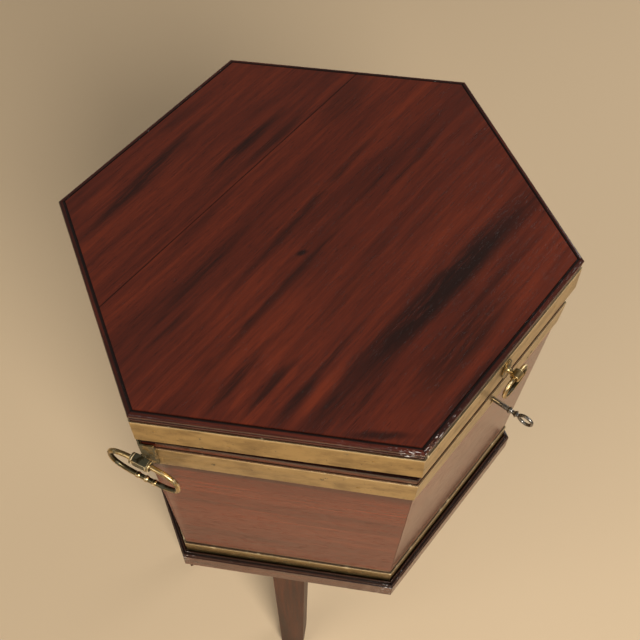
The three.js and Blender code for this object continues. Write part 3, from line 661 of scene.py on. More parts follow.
def merged_copy(node):
    """The faces of a CAD node with their shared corners merged and flat triangles made one face."""
    bm = bmesh.new()
    bm.from_mesh(frame["nodes"][node].data)
    bmesh.ops.remove_doubles(bm, verts=bm.verts[:], dist=0.000002)
    bmesh.ops.dissolve_limit(bm, angle_limit=math.radians(0.6), verts=bm.verts[:], edges=bm.edges[:])
    return bm


def side_turn(node):
    """The turn about the upright axis from the front side to the side that a node's name ends with."""
    names = [side for side in SIDES if node.endswith(f"_{side}")]
    return SIDE_TURN * SIDES.index(max(names, key=len)) if names else 0.0


def mark_grain(bm, turn=0.0, shift=(0, 0, 0), upright=False, on_lid=False):
    """Stores each point as it lies in the front side's place, with the grain along the first axis."""
    layer = bm.verts.layers.float_vector.get("grain") or bm.verts.layers.float_vector.new("grain")
    back = Matrix.Rotation(-turn, 3, "Z")
    for vertex in bm.verts:
        place = back @ ((SHUT @ vertex.co if on_lid else vertex.co) - CENTRE)
        if upright:
            place = Vector((place.z, place.x, place.y))
        vertex[layer] = place + Vector(shift)


def mark_wear(bm, amount, scale=120.0):
    """Stores an uneven wear, up to this amount."""
    layer = bm.verts.layers.float.get("wear") or bm.verts.layers.float.new("wear")
    for vertex in bm.verts:
        vertex[layer] = amount * (0.5 + 0.5 * noise.noise(vertex.co * scale))


def mark_rub_and_light(bm, rubbed):
    """Stores each point's rub from a function of the vertex: near 1 rubbed with a painted highlight, below 0
    painted shade.
    """
    layer = bm.verts.layers.float.get("rub") or bm.verts.layers.float.new("rub")
    for vertex in bm.verts:
        vertex[layer] = rubbed(vertex)


def strips(bm, turn, pitch=0.025, each_way=6):
    """Cuts the faces of a piece into strips along its side, so that none is long and thin."""
    along = Matrix.Rotation(turn, 3, "Z") @ Vector((1, 0, 0))
    for i in range(-each_way, each_way + 1):
        sliced(bm, CENTRE + along * i * pitch, along)


def wood_copy(name, node, body, surface, number, edge, upright=False, wear=0.0):
    """A polished copy of one of the wooden nodes. `number` gives it a stretch of grain of its own."""
    bm = merged_copy(node)
    if not upright:
        strips(bm, side_turn(node))
    shift = (0.37 * number, 0.213 * number, 0.119 * number)
    mark_grain(bm, side_turn(node), shift, upright, on_lid=body == "lid")
    mark_wear(bm, wear)
    return settle(name, bm, body, surface, (node,), edge)


def metal_copy(name, node, body, surface, edge, sharp=35):
    """A copy of a metal node with softened edges."""
    return settle(name, merged_copy(node), body, surface, (node,), edge, sharp)


def band_copy(name, node, body, surface, edge):
    """A copy of one of the brass bands, lighter along its top edge: rubbed brass and a painted highlight."""
    bm = merged_copy(node)

    def level(vertex):
        return (SHUT @ vertex.co if body == "lid" else vertex.co).z

    low, high = min(map(level, bm.verts)), max(map(level, bm.verts))
    # Rises to 1 at the top edge: rubbed brass and a painted highlight there.
    mark_rub_and_light(bm, lambda vertex: (level(vertex) - low) / (high - low))
    return settle(name, bm, body, surface, (node,), edge)


def arc(middle, radius, start, end, steps):
    """Points of (reach, height) along an arc, its angles in degrees from straight out."""
    angles = [math.radians(start + (end - start) * i / steps) for i in range(steps + 1)]
    return [(middle[0] + radius * math.cos(a), middle[1] + radius * math.sin(a)) for a in angles]


def mitred_run(profile, gap=0.00015, pitch=0.003):
    """A length of moulding on the front side, mitred at its ends, from a profile of (reach, height)."""
    half = max(reach for reach, _ in profile) * math.tan(MITRE)
    spare = 0.01
    bm = bmesh.new()
    section = bm.faces.new([bm.verts.new((-half - spare, -reach, height)) for reach, height in profile])
    pulled(bm, [section], (2 * half + 2 * spare, 0, 0))
    steps = int(half / pitch)
    for i in range(-steps, steps + 1):
        sliced(bm, (i * pitch, 0, 0), (1, 0, 0))
    for sign in (-1, 1):
        mitre = Vector((sign * math.cos(MITRE), math.sin(MITRE), 0))
        sliced(bm, -gap * mitre, mitre, clear_outer=True)
        bmesh.ops.holes_fill(bm, edges=[edge for edge in bm.edges if edge.is_boundary])
    bmesh.ops.remove_doubles(bm, verts=bm.verts[:], dist=0.000001)
    face_outward(bm)
    return bm


def wear_run(bm, depth, number, heavy_ends, keep_behind, hollows=()):
    """Rubs and chips the beads of a run. `heavy_ends` are the wear at its left and right ends.

    The wear is set below 0 behind the beads and near the hollows, given as (reach, height), and
    stands there for painted shade.
    """
    margin, near = 0.0002, 0.0012
    layer = bm.verts.layers.float.new("wear")
    bm.normal_update()
    half = max(abs(vertex.co.x) for vertex in bm.verts)
    for vertex in bm.verts:
        along = (vertex.co.x / half + 1) / 2
        ends = heavy_ends[0] * (1 - along) ** 3 + heavy_ends[1] * along ** 3
        place = vertex.co + Vector((number * 0.7, 0, 0))
        cloud = 0.5 + 0.5 * noise.noise(place * 38)
        chips = max(0.0, noise.noise(place * 230) - 0.12) + max(0.0, noise.noise(place * 520) - 0.3)
        rubbed = min(1.0, 0.25 * cloud + ends * (0.45 + 0.55 * cloud))
        behind = -vertex.co.y < keep_behind + margin
        sunk = any(
            math.hypot(-vertex.co.y - reach, vertex.co.z - height) < near for reach, height in hollows
        )
        # Painted shade behind the beads and in the hollows: the attribute is set to -1 there.
        vertex[layer] = -1.0 if behind or sunk else rubbed
        if -vertex.co.y > keep_behind:
            vertex.co -= vertex.normal * depth * rubbed * (0.25 + 2.2 * chips)


def placed_run(bm, turn, on_lid):
    """Moves a run of moulding from the front side's frame to its own side."""
    matrix = Matrix.Translation(CENTRE) @ Matrix.Rotation(turn, 4, "Z")
    bmesh.ops.transform(bm, matrix=OPENED @ matrix if on_lid else matrix, verts=bm.verts[:])


def lathe(bm, outline, middle, axis, steps=24):
    """Turns an outline of (radius, place along the axis) about the axis."""
    axis = Vector(axis).normalized()
    side = axis.orthogonal().normalized()
    verts = [bm.verts.new(Vector(middle) + axis * along + side * radius) for radius, along in outline]
    edges = [bm.edges.new(pair) for pair in zip(verts, verts[1:])]
    bmesh.ops.spin(
        bm, geom=verts + edges, cent=middle, axis=axis, dvec=(0, 0, 0),
        angle=2 * math.pi, steps=steps, use_merge=True,
    )
    bmesh.ops.remove_doubles(bm, verts=bm.verts[:], dist=0.000001)


def axes_matrix(middle, first, second, third):
    """The matrix that puts a shape's own axes along these, from this middle."""
    matrix = Matrix((first, second, third)).transposed().to_4x4()
    matrix.translation = middle
    return matrix


def bent_bar(bm, stations, plane, facets=16):
    """A closed ring of bar through stations of (x, y, radius) in a plane.

    The plane is given as its middle, x axis and y axis.
    """
    middle, across, down = plane
    through = across.cross(down)
    loops = []
    count = len(stations)
    for i, (x, y, radius) in enumerate(stations):
        ahead, behind = stations[(i + 1) % count], stations[i - 1]
        along = (across * (ahead[0] - behind[0]) + down * (ahead[1] - behind[1])).normalized()
        place = middle + across * x + down * y
        matrix = axes_matrix(place, along.cross(through), through, along)
        made = bmesh.ops.create_circle(bm, segments=facets, radius=radius, matrix=matrix)["verts"]
        loops.append(list({edge for vertex in made for edge in vertex.link_edges}))
    for here, after in zip(loops, loops[1:] + loops[:1]):
        bmesh.ops.bridge_loops(bm, edges=here + after)
    face_outward(bm)


def mark_ring_rub_and_light(bm, middle, beads=(), bead_radius=0.0):
    """Marks a ring: rubbed beads, outer side rubbed with a painted highlight, inner side painted shade."""
    bm.normal_update()

    def rubbed(vertex):
        away = vertex.co - middle
        nearest = min(((vertex.co - bead).length for bead in beads), default=1.0)
        # Beads rubbed bright; outer side lighter as rubbed brass with a painted highlight, inner side darker
        # as painted shade.
        return 0.95 if nearest < bead_radius * 1.04 else 1.05 * vertex.normal.dot(away.normalized())

    mark_rub_and_light(bm, rubbed)


def oval_stations(width, height, squareness, bar, steps, beads=(), bead_radius=0.0):
    """Stations round an oval, closer together along the beads in the middle of its lower side."""
    pitch = 0.0006
    span = max(abs(bead) for bead in beads) + bead_radius if beads else 0.0
    turns = []
    for i in range(steps):
        turn = 2 * math.pi * i / steps
        x = math.copysign(width / 2 * abs(math.cos(turn)) ** (2 / squareness), math.cos(turn))
        if math.sin(turn) > 0 or abs(x) > span + bar:
            turns.append(turn)
    if beads:
        count = int(2 * span / pitch)
        for i in range(count + 1):
            x = -span + 2 * span * i / count
            cosine = math.copysign((abs(x) * 2 / width) ** (squareness / 2), x)
            turns.append(2 * math.pi - math.acos(max(-1.0, min(1.0, cosine))))
    stations = []
    for turn in sorted(turns):
        c, s = math.cos(turn), math.sin(turn)
        x = math.copysign(width / 2 * abs(c) ** (2 / squareness), c)
        y = math.copysign(height / 2 * abs(s) ** (2 / squareness), s)
        radius = bar
        for bead in beads:
            rise = bead_radius ** 2 - (x - bead) ** 2
            if y < 0 and rise > 0:
                radius = max(radius, math.sqrt(rise))
        stations.append((x, y, radius))
    return stations


def rounded_loop(half, count, squareness):
    """Points of a closed loop between a square (high squareness) and a circle (2)."""
    points = []
    for i in range(count):
        turn = 2 * math.pi * i / count
        c, s = math.cos(turn), math.sin(turn)
        scale = (abs(c) ** squareness + abs(s) ** squareness) ** (-1 / squareness)
        points.append((half * c * scale, half * s * scale))
    return points


def bored_bar(bm, middle, axis, up, outer, bore, span, rounding, dirty_top=False):
    """A bar along an axis with a round hole through it, its edges rounded and lighter: rubbed brass
    with a painted highlight.

    `outer` holds the points of its outline. With `dirty_top` its upper face is dirty.
    """
    axis, up = Vector(axis).normalized(), Vector(up).normalized()
    side = up.cross(axis)
    count = len(outer)
    layer = bm.verts.layers.float.get("rub") or bm.verts.layers.float.new("rub")
    largest = max(abs(a) for a, _ in outer)

    def ring(points, along, shrink=0.0, rub=0.0):
        verts = []
        for a, b in points:
            flat = Vector((a, b))
            flat = flat * (1 - shrink / flat.length)
            verts.append(bm.verts.new(Vector(middle) + axis * along + side * flat.x + up * flat.y))
            # The long edges and rounded ends are lighter: rubbed brass and a painted highlight.
            if min(abs(a), abs(b)) > 0.85 * largest:
                verts[-1][layer] = 1.0
            else:
                verts[-1][layer] = min(rub, -0.7) if dirty_top and b > 0.85 * largest else rub
        return [bm.edges.new((verts[i - 1], verts[i])) for i in range(count)]

    angles = [2 * math.pi * i / count for i in range(count)]
    inner = [(bore * math.cos(angle), bore * math.sin(angle)) for angle in angles]
    start, end = span
    rings = [
        ring(inner, start),
        ring(outer, start, rounding, 0.7),
        ring(outer, start + rounding * 0.3, rounding * 0.3, 1.0),
        ring(outer, start + rounding, 0.0, 0.8),
        ring(outer, start + rounding * 1.4),
        ring(outer, end - rounding * 1.4),
        ring(outer, end - rounding, 0.0, 0.8),
        ring(outer, end - rounding * 0.3, rounding * 0.3, 1.0),
        ring(outer, end, rounding, 0.7),
        ring(inner, end),
    ]
    for here, after in zip(rings, rings[1:] + rings[:1]):
        bmesh.ops.bridge_loops(bm, edges=here + after)


def pin_heads(bm, places, radius, rise):
    """Low domed pin heads. Each place is a point and the direction that the head faces."""
    sunk = -0.0002
    outline = [(radius, sunk), (radius, rise * 0.35), (radius * 0.72, rise * 0.85), (0.0, rise)]
    for place, facing in places:
        lathe(bm, outline, place, facing, steps=14)


def slotted_screw(bm, place, facing, radius, turn):
    """A flat screw head with a straight slot."""
    half_slot, height = 0.00035, 0.0004
    facing = Vector(facing).normalized()
    across = Matrix.Rotation(turn, 3, facing) @ facing.orthogonal().normalized()
    matrix = axes_matrix(Vector(place), across, facing.cross(across), facing)
    disc = bmesh.ops.create_circle(bm, cap_ends=True, segments=24, radius=radius, matrix=matrix)["verts"]
    faces = list({face for vertex in disc for face in vertex.link_faces})
    for sign in (-1, 1):
        geometry = list({item for face in faces for item in [face, *face.edges, *face.verts]})
        cut = bmesh.ops.bisect_plane(
            bm, geom=geometry, plane_co=Vector(place) + across * sign * half_slot, plane_no=across
        )
        faces = [item for item in cut["geom"] if isinstance(item, bmesh.types.BMFace)]
    offsets = [abs((face.calc_center_median() - Vector(place)).dot(across)) for face in faces]
    pulled(bm, [face for face, offset in zip(faces, offsets) if offset > half_slot], facing * height)


def settle_screws(name, heads, body):
    """Makes one piece of the screw heads on a body."""
    face_outward(heads)
    settle(name, heads, body, "fitting_brass")


def side_place(turn, x, reach, height):
    """A point on a side, given as it would be on the front side."""
    return Matrix.Rotation(turn, 3, "Z") @ Vector((x, -reach, height)) + CENTRE


def outward(turn, lean=0.0):
    """The direction that a side faces, tilted up by its lean."""
    return Matrix.Rotation(turn, 3, "Z") @ Vector((0, -math.cos(lean), math.sin(lean)))


# ---- Operators


class CELLARETTE_OT_stand(bpy.types.Operator):
    """Rails, worn moulding and tapered legs of the stand"""

    bl_idname = "cellarette.stand"
    bl_label = "Stand"

    def execute(self, context):
        shape = context.scene.cellarette_shape
        for number, side in enumerate(SIDES):
            wood_copy(f"rail_{side}", f"stand_rail_{side}", "stand", "stand_wax", number, shape.soft_edge)
            self.moulding(side, number, shape)
        for number, side in enumerate(OBLIQUE):
            wood_copy(
                f"tapered_leg_{side}", f"leg_{side}", "stand", "stand_wax",
                number + 7, shape.soft_edge * 1.6, upright=True, wear=0.45,
            )
        return {"FINISHED"}

    @staticmethod
    def moulding(side, number, shape):
        low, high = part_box("stand_moulding_front")
        outer, inner = CENTRE.y - low.y, CENTRE.y - high.y
        bottom, top = low.z, high.z
        big, small = shape.stand_outer, shape.stand_inner
        corner, set_back, quirk = 0.0015, 0.0008, 0.0005
        level = top - small - big
        under = level - big
        profile = [(inner, bottom)] + arc((outer - corner, bottom + corner), corner, -90, 0, 4)
        profile += [(outer, bottom + 0.0022), (outer, under - 0.0012)]
        profile += [(outer, under - 0.0004), (outer - quirk, under)]
        profile += arc((outer - set_back - big, level), big, -78, 90, 9)
        profile += arc((inner + small, top - small), small, 0, 180, 6)
        run = mitred_run(profile)
        # The hollow between the beads, which wear_run paints with shade.
        shaded_hollow = (inner + 2 * small + 0.0002, level + big)
        wear_run(run, shape.wear_depth, number + 20, (0.75, 0.75), inner + 0.0005, (shaded_hollow,))
        turn = SIDE_TURN * number
        placed_run(run, turn, on_lid=False)
        mark_grain(run, turn, (0.41 * number, 0.17 * number, 0.0))
        node = f"stand_moulding_{side}"
        settle(f"worn_moulding_{side}", run, "stand", "stand_bead_wax", (node,), sharp=50)


class CELLARETTE_OT_case(bpy.types.Operator):
    """Panels, bottom board and dented lead lining of the case"""

    bl_idname = "cellarette.case"
    bl_label = "Case"

    def execute(self, context):
        shape = context.scene.cellarette_shape
        for number, side in enumerate(SIDES):
            wood_copy(
                f"panel_{side}", f"case_panel_{side}", "case", "case_polish",
                number + 3, shape.soft_edge,
            )
        board = merged_copy("case_base")
        settle("bottom_board", board, "case", "base_board", ("case_base",), shape.soft_edge)
        self.lining()
        return {"FINISHED"}

    @staticmethod
    def lining():
        coarse, deepest = 0.012, 0.0011
        bm = merged_copy("lead_liner")
        bmesh.ops.triangulate(bm, faces=bm.faces[:])
        for _ in range(3):
            long_edges = [edge for edge in bm.edges if edge.calc_length() > coarse]
            bmesh.ops.subdivide_edges(bm, edges=long_edges, cuts=1, use_grid_fill=True)
            bmesh.ops.triangulate(bm, faces=bm.faces[:])
        for vertex in bm.verts:
            inward = Vector((-vertex.co.x, CENTRE.y - vertex.co.y, 0))
            dent = max(0.0, noise.noise(vertex.co * 26)) + 0.4 * max(0.0, noise.noise(vertex.co * 70))
            vertex.co += inward.normalized() * dent * deepest
        settle("lead_lining", bm, "case", "sheet_lead", ("lead_liner",), sharp=50)


class CELLARETTE_OT_case_bands(bpy.types.Operator):
    """The two brass bands round the case and the pins that hold them"""

    bl_idname = "cellarette.case_bands"
    bl_label = "Case bands"

    # The pins of one side of each band: the place along the side and the share of the band's height.
    pin_spots = {
        "case_upper_band": ((-0.060, 0.48), (0.038, 0.55), (0.071, 0.30)),
        "case_lower_band": ((-0.062, 0.50), (0.069, 0.45)),
    }

    def execute(self, context):
        shape = context.scene.cellarette_shape
        band_copy("upper_band", "case_upper_band", "case", "band_brass", shape.crisp_edge)
        band_copy("lower_band", "case_lower_band", "case", "low_band_brass", shape.crisp_edge)
        lean = self.lean()
        places = []
        for node, spots in self.pin_spots.items():
            low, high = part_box(node)
            reach_top = (high.y - low.y) / 2
            for number in range(len(SIDES)):
                for x, share_up in spots:
                    height = low.z + (high.z - low.z) * share_up
                    reach = reach_top - (high.z - height) * math.tan(lean)
                    sway = 0.006 * noise.noise((number * 3.1, x * 40, height * 9))
                    turn = SIDE_TURN * number
                    places.append((side_place(turn, x + sway, reach, height), outward(turn, -lean)))
        bm = bmesh.new()
        pin_heads(bm, places, shape.pin_head, 0.0004)
        settle("case_band_pins", bm, "case", "fitting_brass")
        return {"FINISHED"}

    @staticmethod
    def lean():
        """The slope of the case's faces from the vertical."""
        upper_low, upper_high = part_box("case_upper_band")
        lower_low, lower_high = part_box("case_lower_band")
        spread = (upper_high.y - upper_low.y) / 2 - (lower_high.y - lower_low.y) / 2
        return math.atan(spread / (upper_high.z - lower_high.z))


class CELLARETTE_OT_lid(bpy.types.Operator):
    """Boards, worn mouldings and sides of the lid"""

    bl_idname = "cellarette.lid"
    bl_label = "Lid"

    def execute(self, context):
        shape = context.scene.cellarette_shape
        for name in ("front", "back"):
            bm = merged_copy(f"lid_board_{name}")
            mark_grain(bm, on_lid=True)
            settle(f"top_board_{name}", bm, "lid", "lid_top_polish", (f"lid_board_{name}",))
        wear = {"front_left": (0.15, 1.0), "front": (0.85, 0.55), "front_right": (0.5, 0.2)}
        for number, side in enumerate(SIDES):
            wood_copy(
                f"lid_frame_{side}", f"lid_side_{side}", "lid", "lid_edge_polish",
                number + 11, shape.soft_edge, wear=0.2,
            )
            self.moulding(side, number, shape, wear.get(side, (0.25, 0.25)))
        return {"FINISHED"}

    @staticmethod
    def moulding(side, number, shape, ends):
        width, corner = 0.0062, 0.0002
        _, outer, bottom, top = shut_levels("lid_moulding_front")
        inner = outer - width
        upper, ease = shape.upper_bead, shape.bead_ease
        lower = (top - bottom - shape.bead_groove) / 2 - ease - upper
        crown = top - ease
        set_back = outer - shape.bead_set - lower
        profile = [(inner, bottom)] + arc((set_back, bottom + ease + lower), lower, -90, 78, 9)
        profile += arc((outer - upper, crown - upper), upper, -76, 90, 12)
        rim = inner + shape.quirk_width
        profile += [(rim + corner, crown), (rim, crown - corner)]
        profile += [(rim, top - shape.quirk_depth), (inner, top - shape.quirk_depth)]
        run = mitred_run(profile)
        # The groove between the beads, which wear_run paints with shade; the quirk behind the beads is shaded
        # too.
        groove = (outer - 0.0022, bottom + ease + 2 * lower + shape.bead_groove / 2)
        wear_run(run, shape.wear_depth, number, ends, inner + 0.0012, (groove,))
        turn = SIDE_TURN * number
        placed_run(run, turn, on_lid=True)
        mark_grain(run, turn, (0.29 * number, 0.31 * number, 0.0), on_lid=True)
        settle(f"lid_bead_{side}", run, "lid", "lid_edge_polish", (f"lid_moulding_{side}",), sharp=50)


class CELLARETTE_OT_lid_band(bpy.types.Operator):
    """The brass band round the lid and its pins"""

    bl_idname = "cellarette.lid_band"
    bl_label = "Lid band"

    # The pins of one side: the place along the side and the share of the band's height.
    pin_spots = ((-0.106, 0.62), (-0.040, 0.30), (0.082, 0.55))

    def execute(self, context):
        shape = context.scene.cellarette_shape
        band_copy("lid_strap", "lid_band", "lid", "band_brass", shape.crisp_edge)
        _, reach, low, high = shut_levels("lid_band")
        places = []
        for number in range(len(SIDES)):
            for x, share_up in self.pin_spots:
                sway = 0.008 * noise.noise((number * 2.3, x * 50, 4.0))
                turn = SIDE_TURN * number
                place = OPENED @ side_place(turn, x + sway, reach, low + (high - low) * share_up)
                places.append((place, outward(turn)))
        bm = bmesh.new()
        pin_heads(bm, places, shape.pin_head * 0.9, 0.0003)
        settle("lid_band_pins", bm, "lid", "fitting_brass")
        return {"FINISHED"}


class CELLARETTE_OT_hinges(bpy.types.Operator):
    """Leaves, pins and screws of the two hinges"""

    bl_idname = "cellarette.hinges"
    bl_label = "Hinges"

    def execute(self, context):
        shape = context.scene.cellarette_shape
        for side in ("left", "right"):
            for body in ("case", "lid"):
                node = f"hinge_{body}_leaf_{side}"
                metal_copy(f"{body}_leaf_{side}", node, body, "fitting_brass", shape.crisp_edge, sharp=40)
            self.pin(side)
        self.screws(shape)
        return {"FINISHED"}

    @staticmethod
    def pin(side):
        node = f"hinge_pin_{side}"
        low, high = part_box(node)
        radius, span = (high.z - low.z) / 2, high.x - low.x
        ease = radius * 0.4
        outline = [(0, 0), (radius - ease, 0), (radius, ease), (radius, span - ease)]
        outline += [(radius - ease, span), (0, span)]
        middle = middle_of(node)
        bm = bmesh.new()
        lathe(bm, outline, (low.x, middle.y, middle.z), (1, 0, 0), steps=20)
        face_outward(bm)
        settle(f"hinge_rod_{side}", bm, "case", "fitting_brass", (node,))

    @staticmethod
    def screws(shape):
        off_middle, from_edge, lift = 0.016, 0.0065, 0.0009
        case_heads, lid_heads = bmesh.new(), bmesh.new()
        for side in ("left", "right"):
            leaf = f"hinge_case_leaf_{side}"
            middle, y = middle_of(leaf).x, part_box(leaf)[0].y + from_edge
            for number, x in enumerate((middle - off_middle, middle + off_middle)):
                below = (x, y, RIM - lift)
                slotted_screw(case_heads, below, (0, 0, 1), shape.screw_head, 0.7 + number * 1.3)
                above = OPENED @ Vector((x, y, LID_BOTTOM + lift))
                slotted_screw(lid_heads, above, (0, 0, -1), shape.screw_head, 2.1 - number)
        settle_screws("case_hinge_screws", case_heads, "case")
        settle_screws("lid_hinge_screws", lid_heads, "lid")


class CELLARETTE_OT_lock(bpy.types.Operator):
    """Lock, bolt, link plate and their screws"""

    bl_idname = "cellarette.lock"
    bl_label = "Lock"

    def execute(self, context):
        shape = context.scene.cellarette_shape
        metal_copy("box_lock", "lock_case", "case", "fitting_brass", shape.crisp_edge)
        metal_copy("bolt", "lock_bolt", "lock_bolt", "rubbed_steel", shape.crisp_edge)
        metal_copy("link_plate", "lid_link_plate", "lid", "fitting_brass", shape.crisp_edge)
        from_end, lift, closer = 0.0055, 0.0002, 0.74
        low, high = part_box("lock_case")
        y = middle_of("lock_case").y
        plate, link = bmesh.new(), bmesh.new()
        for number, x in enumerate((low.x + from_end, high.x - from_end)):
            slotted_screw(plate, (x, y, RIM - lift), (0, 0, 1), shape.screw_head * 0.8, 0.4 + number)
            under = OPENED @ Vector((x * closer, y, LID_BOTTOM + lift))
            slotted_screw(link, under, (0, 0, -1), shape.screw_head * 0.7, 1.9 + number)
        settle_screws("lock_screws", plate, "case")
        settle_screws("link_screws", link, "lid")
        return {"FINISHED"}


class CELLARETTE_OT_key(bpy.types.Operator):
    """The key, with its turned stem, bow and bit"""

    bl_idname = "cellarette.key"
    bl_label = "Key"

    def execute(self, context):
        low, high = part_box("key")
        level = JOINTS["key_turn"]["pos_m"][2]
        bow_width, bow_length, bar = 0.0114, 0.0134, 0.0016
        stem, collar, apart = 0.0024, 0.0037, 0.0069
        bow_middle = low.y + bar + bow_length / 2
        root = high.y - (bow_middle + bow_length / 2)
        first = high.y - (CENTRE.y - 0.232)
        second = first + apart
        outline = [
            (0, 0), (stem * 0.8, 0), (stem, 0.0006),
            (stem, first - 0.0016), (stem * 1.12, first - 0.0013),
            (collar * 0.9, first - 0.0005), (collar, first), (collar * 0.9, first + 0.0005),
            (stem * 1.1, first + 0.0012), (stem * 0.86, first + 0.0022),
            (stem * 0.86, second - 0.0022), (stem * 1.1, second - 0.0012),
            (collar * 0.88, second - 0.0005), (collar, second), (collar * 0.88, second + 0.0005),
            (stem * 0.9, second + 0.0013), (stem * 0.72, root), (0, root + 0.0004),
        ]
        bm = bmesh.new()
        lathe(bm, outline, (0, high.y, level), (0, -1, 0), steps=28)
        stations = []
        for x, y, radius in oval_stations(bow_width, bow_length, 2.1, bar, 48):
            near_stem = max(0.0, y / (bow_length / 2)) ** 4
            stations.append((x, y, radius * (1 + 0.25 * near_stem)))
        plane = (Vector((0, bow_middle, level)), Vector((0, 0, 1)), Vector((0, 1, 0)))
        bent_bar(bm, stations, plane, facets=14)
        self.bit(bm, low.x, high.y, level)
        face_outward(bm)
        settle("turned_key", bm, "key", "rubbed_steel", ("key",), sharp=42)
        return {"FINISHED"}

    @staticmethod
    def bit(bm, tip, end, level):
        """The bit's blade with a ward notch, along -X from the stem."""
        thickness = 0.003
        outline = [
            (0.0, -0.0003), (tip, -0.0003), (tip, -0.0021), (tip * 0.72, -0.0021),
            (tip * 0.72, -0.0029), (tip, -0.0029), (tip, -0.0050), (0.0, -0.0050),
        ]
        bottom = level - thickness / 2
        face = bm.faces.new([bm.verts.new((x, end + y, bottom)) for x, y in outline])
        pulled(bm, [face], (0, 0, thickness))


class CELLARETTE_OT_handles(bpy.types.Operator):
    """Corner plates, eye blocks and beaded bails of the two carrying handles"""

    bl_idname = "cellarette.handles"
    bl_label = "Carrying handles"

    def execute(self, context):
        shape = context.scene.cellarette_shape
        for side in ("left", "right"):
            joint = JOINTS[f"{side}_bail_swing"]
            pivot = Vector(joint["pos_m"])
            along = -Vector(joint["axis"])
            out = Vector((along.y, -along.x, 0))
            self.bracket(side, pivot, along, out, shape)
            self.bail(side, pivot, along, shape)
        return {"FINISHED"}

    @staticmethod
    def bracket(side, pivot, along, out, shape):
        up = Vector((0, 0, 1))
        bore = shape.bail_bar + 0.0006
        block_half, block_reach = 0.005, 0.0073
        collar_radius, collar_reach, collar_place = 0.0055, 0.00148, 0.009
        stand_off = 0.007
        bm = bmesh.new()
        block = rounded_loop(block_half, 48, 9)
        bored_bar(bm, pivot, along, up, block, bore, (-block_reach, block_reach), 0.0006, dirty_top=True)
        collar = rounded_loop(collar_radius, 48, 2)
        for place in (pivot - along * collar_place, pivot + along * collar_place):
            bored_bar(bm, place, along, up, collar, bore, (-collar_reach, collar_reach), 0.0007)
        corner = Vector((pivot.x - out.x * stand_off, CENTRE.y, pivot.z))
        neck = [(0.0044, 0.0006), (0.0042, 0.0014), (0.0043, 0.0024)]
        lathe(bm, neck, corner, out)
        CELLARETTE_OT_handles.corner_plate(bm, corner, math.copysign(1, pivot.x))
        face_outward(bm)
        node = f"handle_bracket_{side}"
        settle(f"eye_bracket_{side}", bm, "case", "dark_brass", (node,), 0.0003, sharp=38)

    @staticmethod
    def corner_plate(bm, corner, sign):
        """The plate folded over the case's corner, leaning with it. The sign tells right from left."""
        proud = 0.0003
        lean = math.atan(math.tan(CELLARETTE_OT_case_bands.lean()) / math.cos(MITRE))
        arm, skin, half, rise = 0.013, 0.0016 / math.cos(MITRE), 0.019, 0.009
        back, wide = -arm * math.sin(MITRE), arm * math.cos(MITRE)
        outline = [(0, 0), (back, wide), (back + skin, wide), (skin, 0), (back + skin, -wide), (back, -wide)]
        base = [bm.verts.new((proud + x, y, rise - half)) for x, y in outline]
        raised = pulled(bm, [bm.faces.new(base)], (0, 0, 2 * half))
        tilt = Matrix.Rotation(lean, 4, "Y")
        turn = Matrix.Rotation(0 if sign > 0 else math.pi, 4, "Z")
        bmesh.ops.transform(bm, matrix=Matrix.Translation(corner) @ turn @ tilt, verts=base + raised)

    @staticmethod
    def bail(side, pivot, along, shape):
        width, height = 0.073, 0.037
        beads = (-shape.bail_pitch, 0.0, shape.bail_pitch)
        stations = oval_stations(width, height, 2.7, shape.bail_bar, 84, beads, shape.bail_bead)
        bm = bmesh.new()
        middle = pivot - Vector((0, 0, height / 2))
        bent_bar(bm, stations, (middle, along, Vector((0, 0, 1))), facets=18)
        knobs = [middle - Vector((0, 0, height / 2)) + along * bead for bead in beads]
        mark_ring_rub_and_light(bm, middle, knobs, shape.bail_bead)
        node = f"handle_bail_{side}"
        settle(f"beaded_bail_{side}", bm, f"bail_{side}", "fitting_brass", (node,), sharp=48)


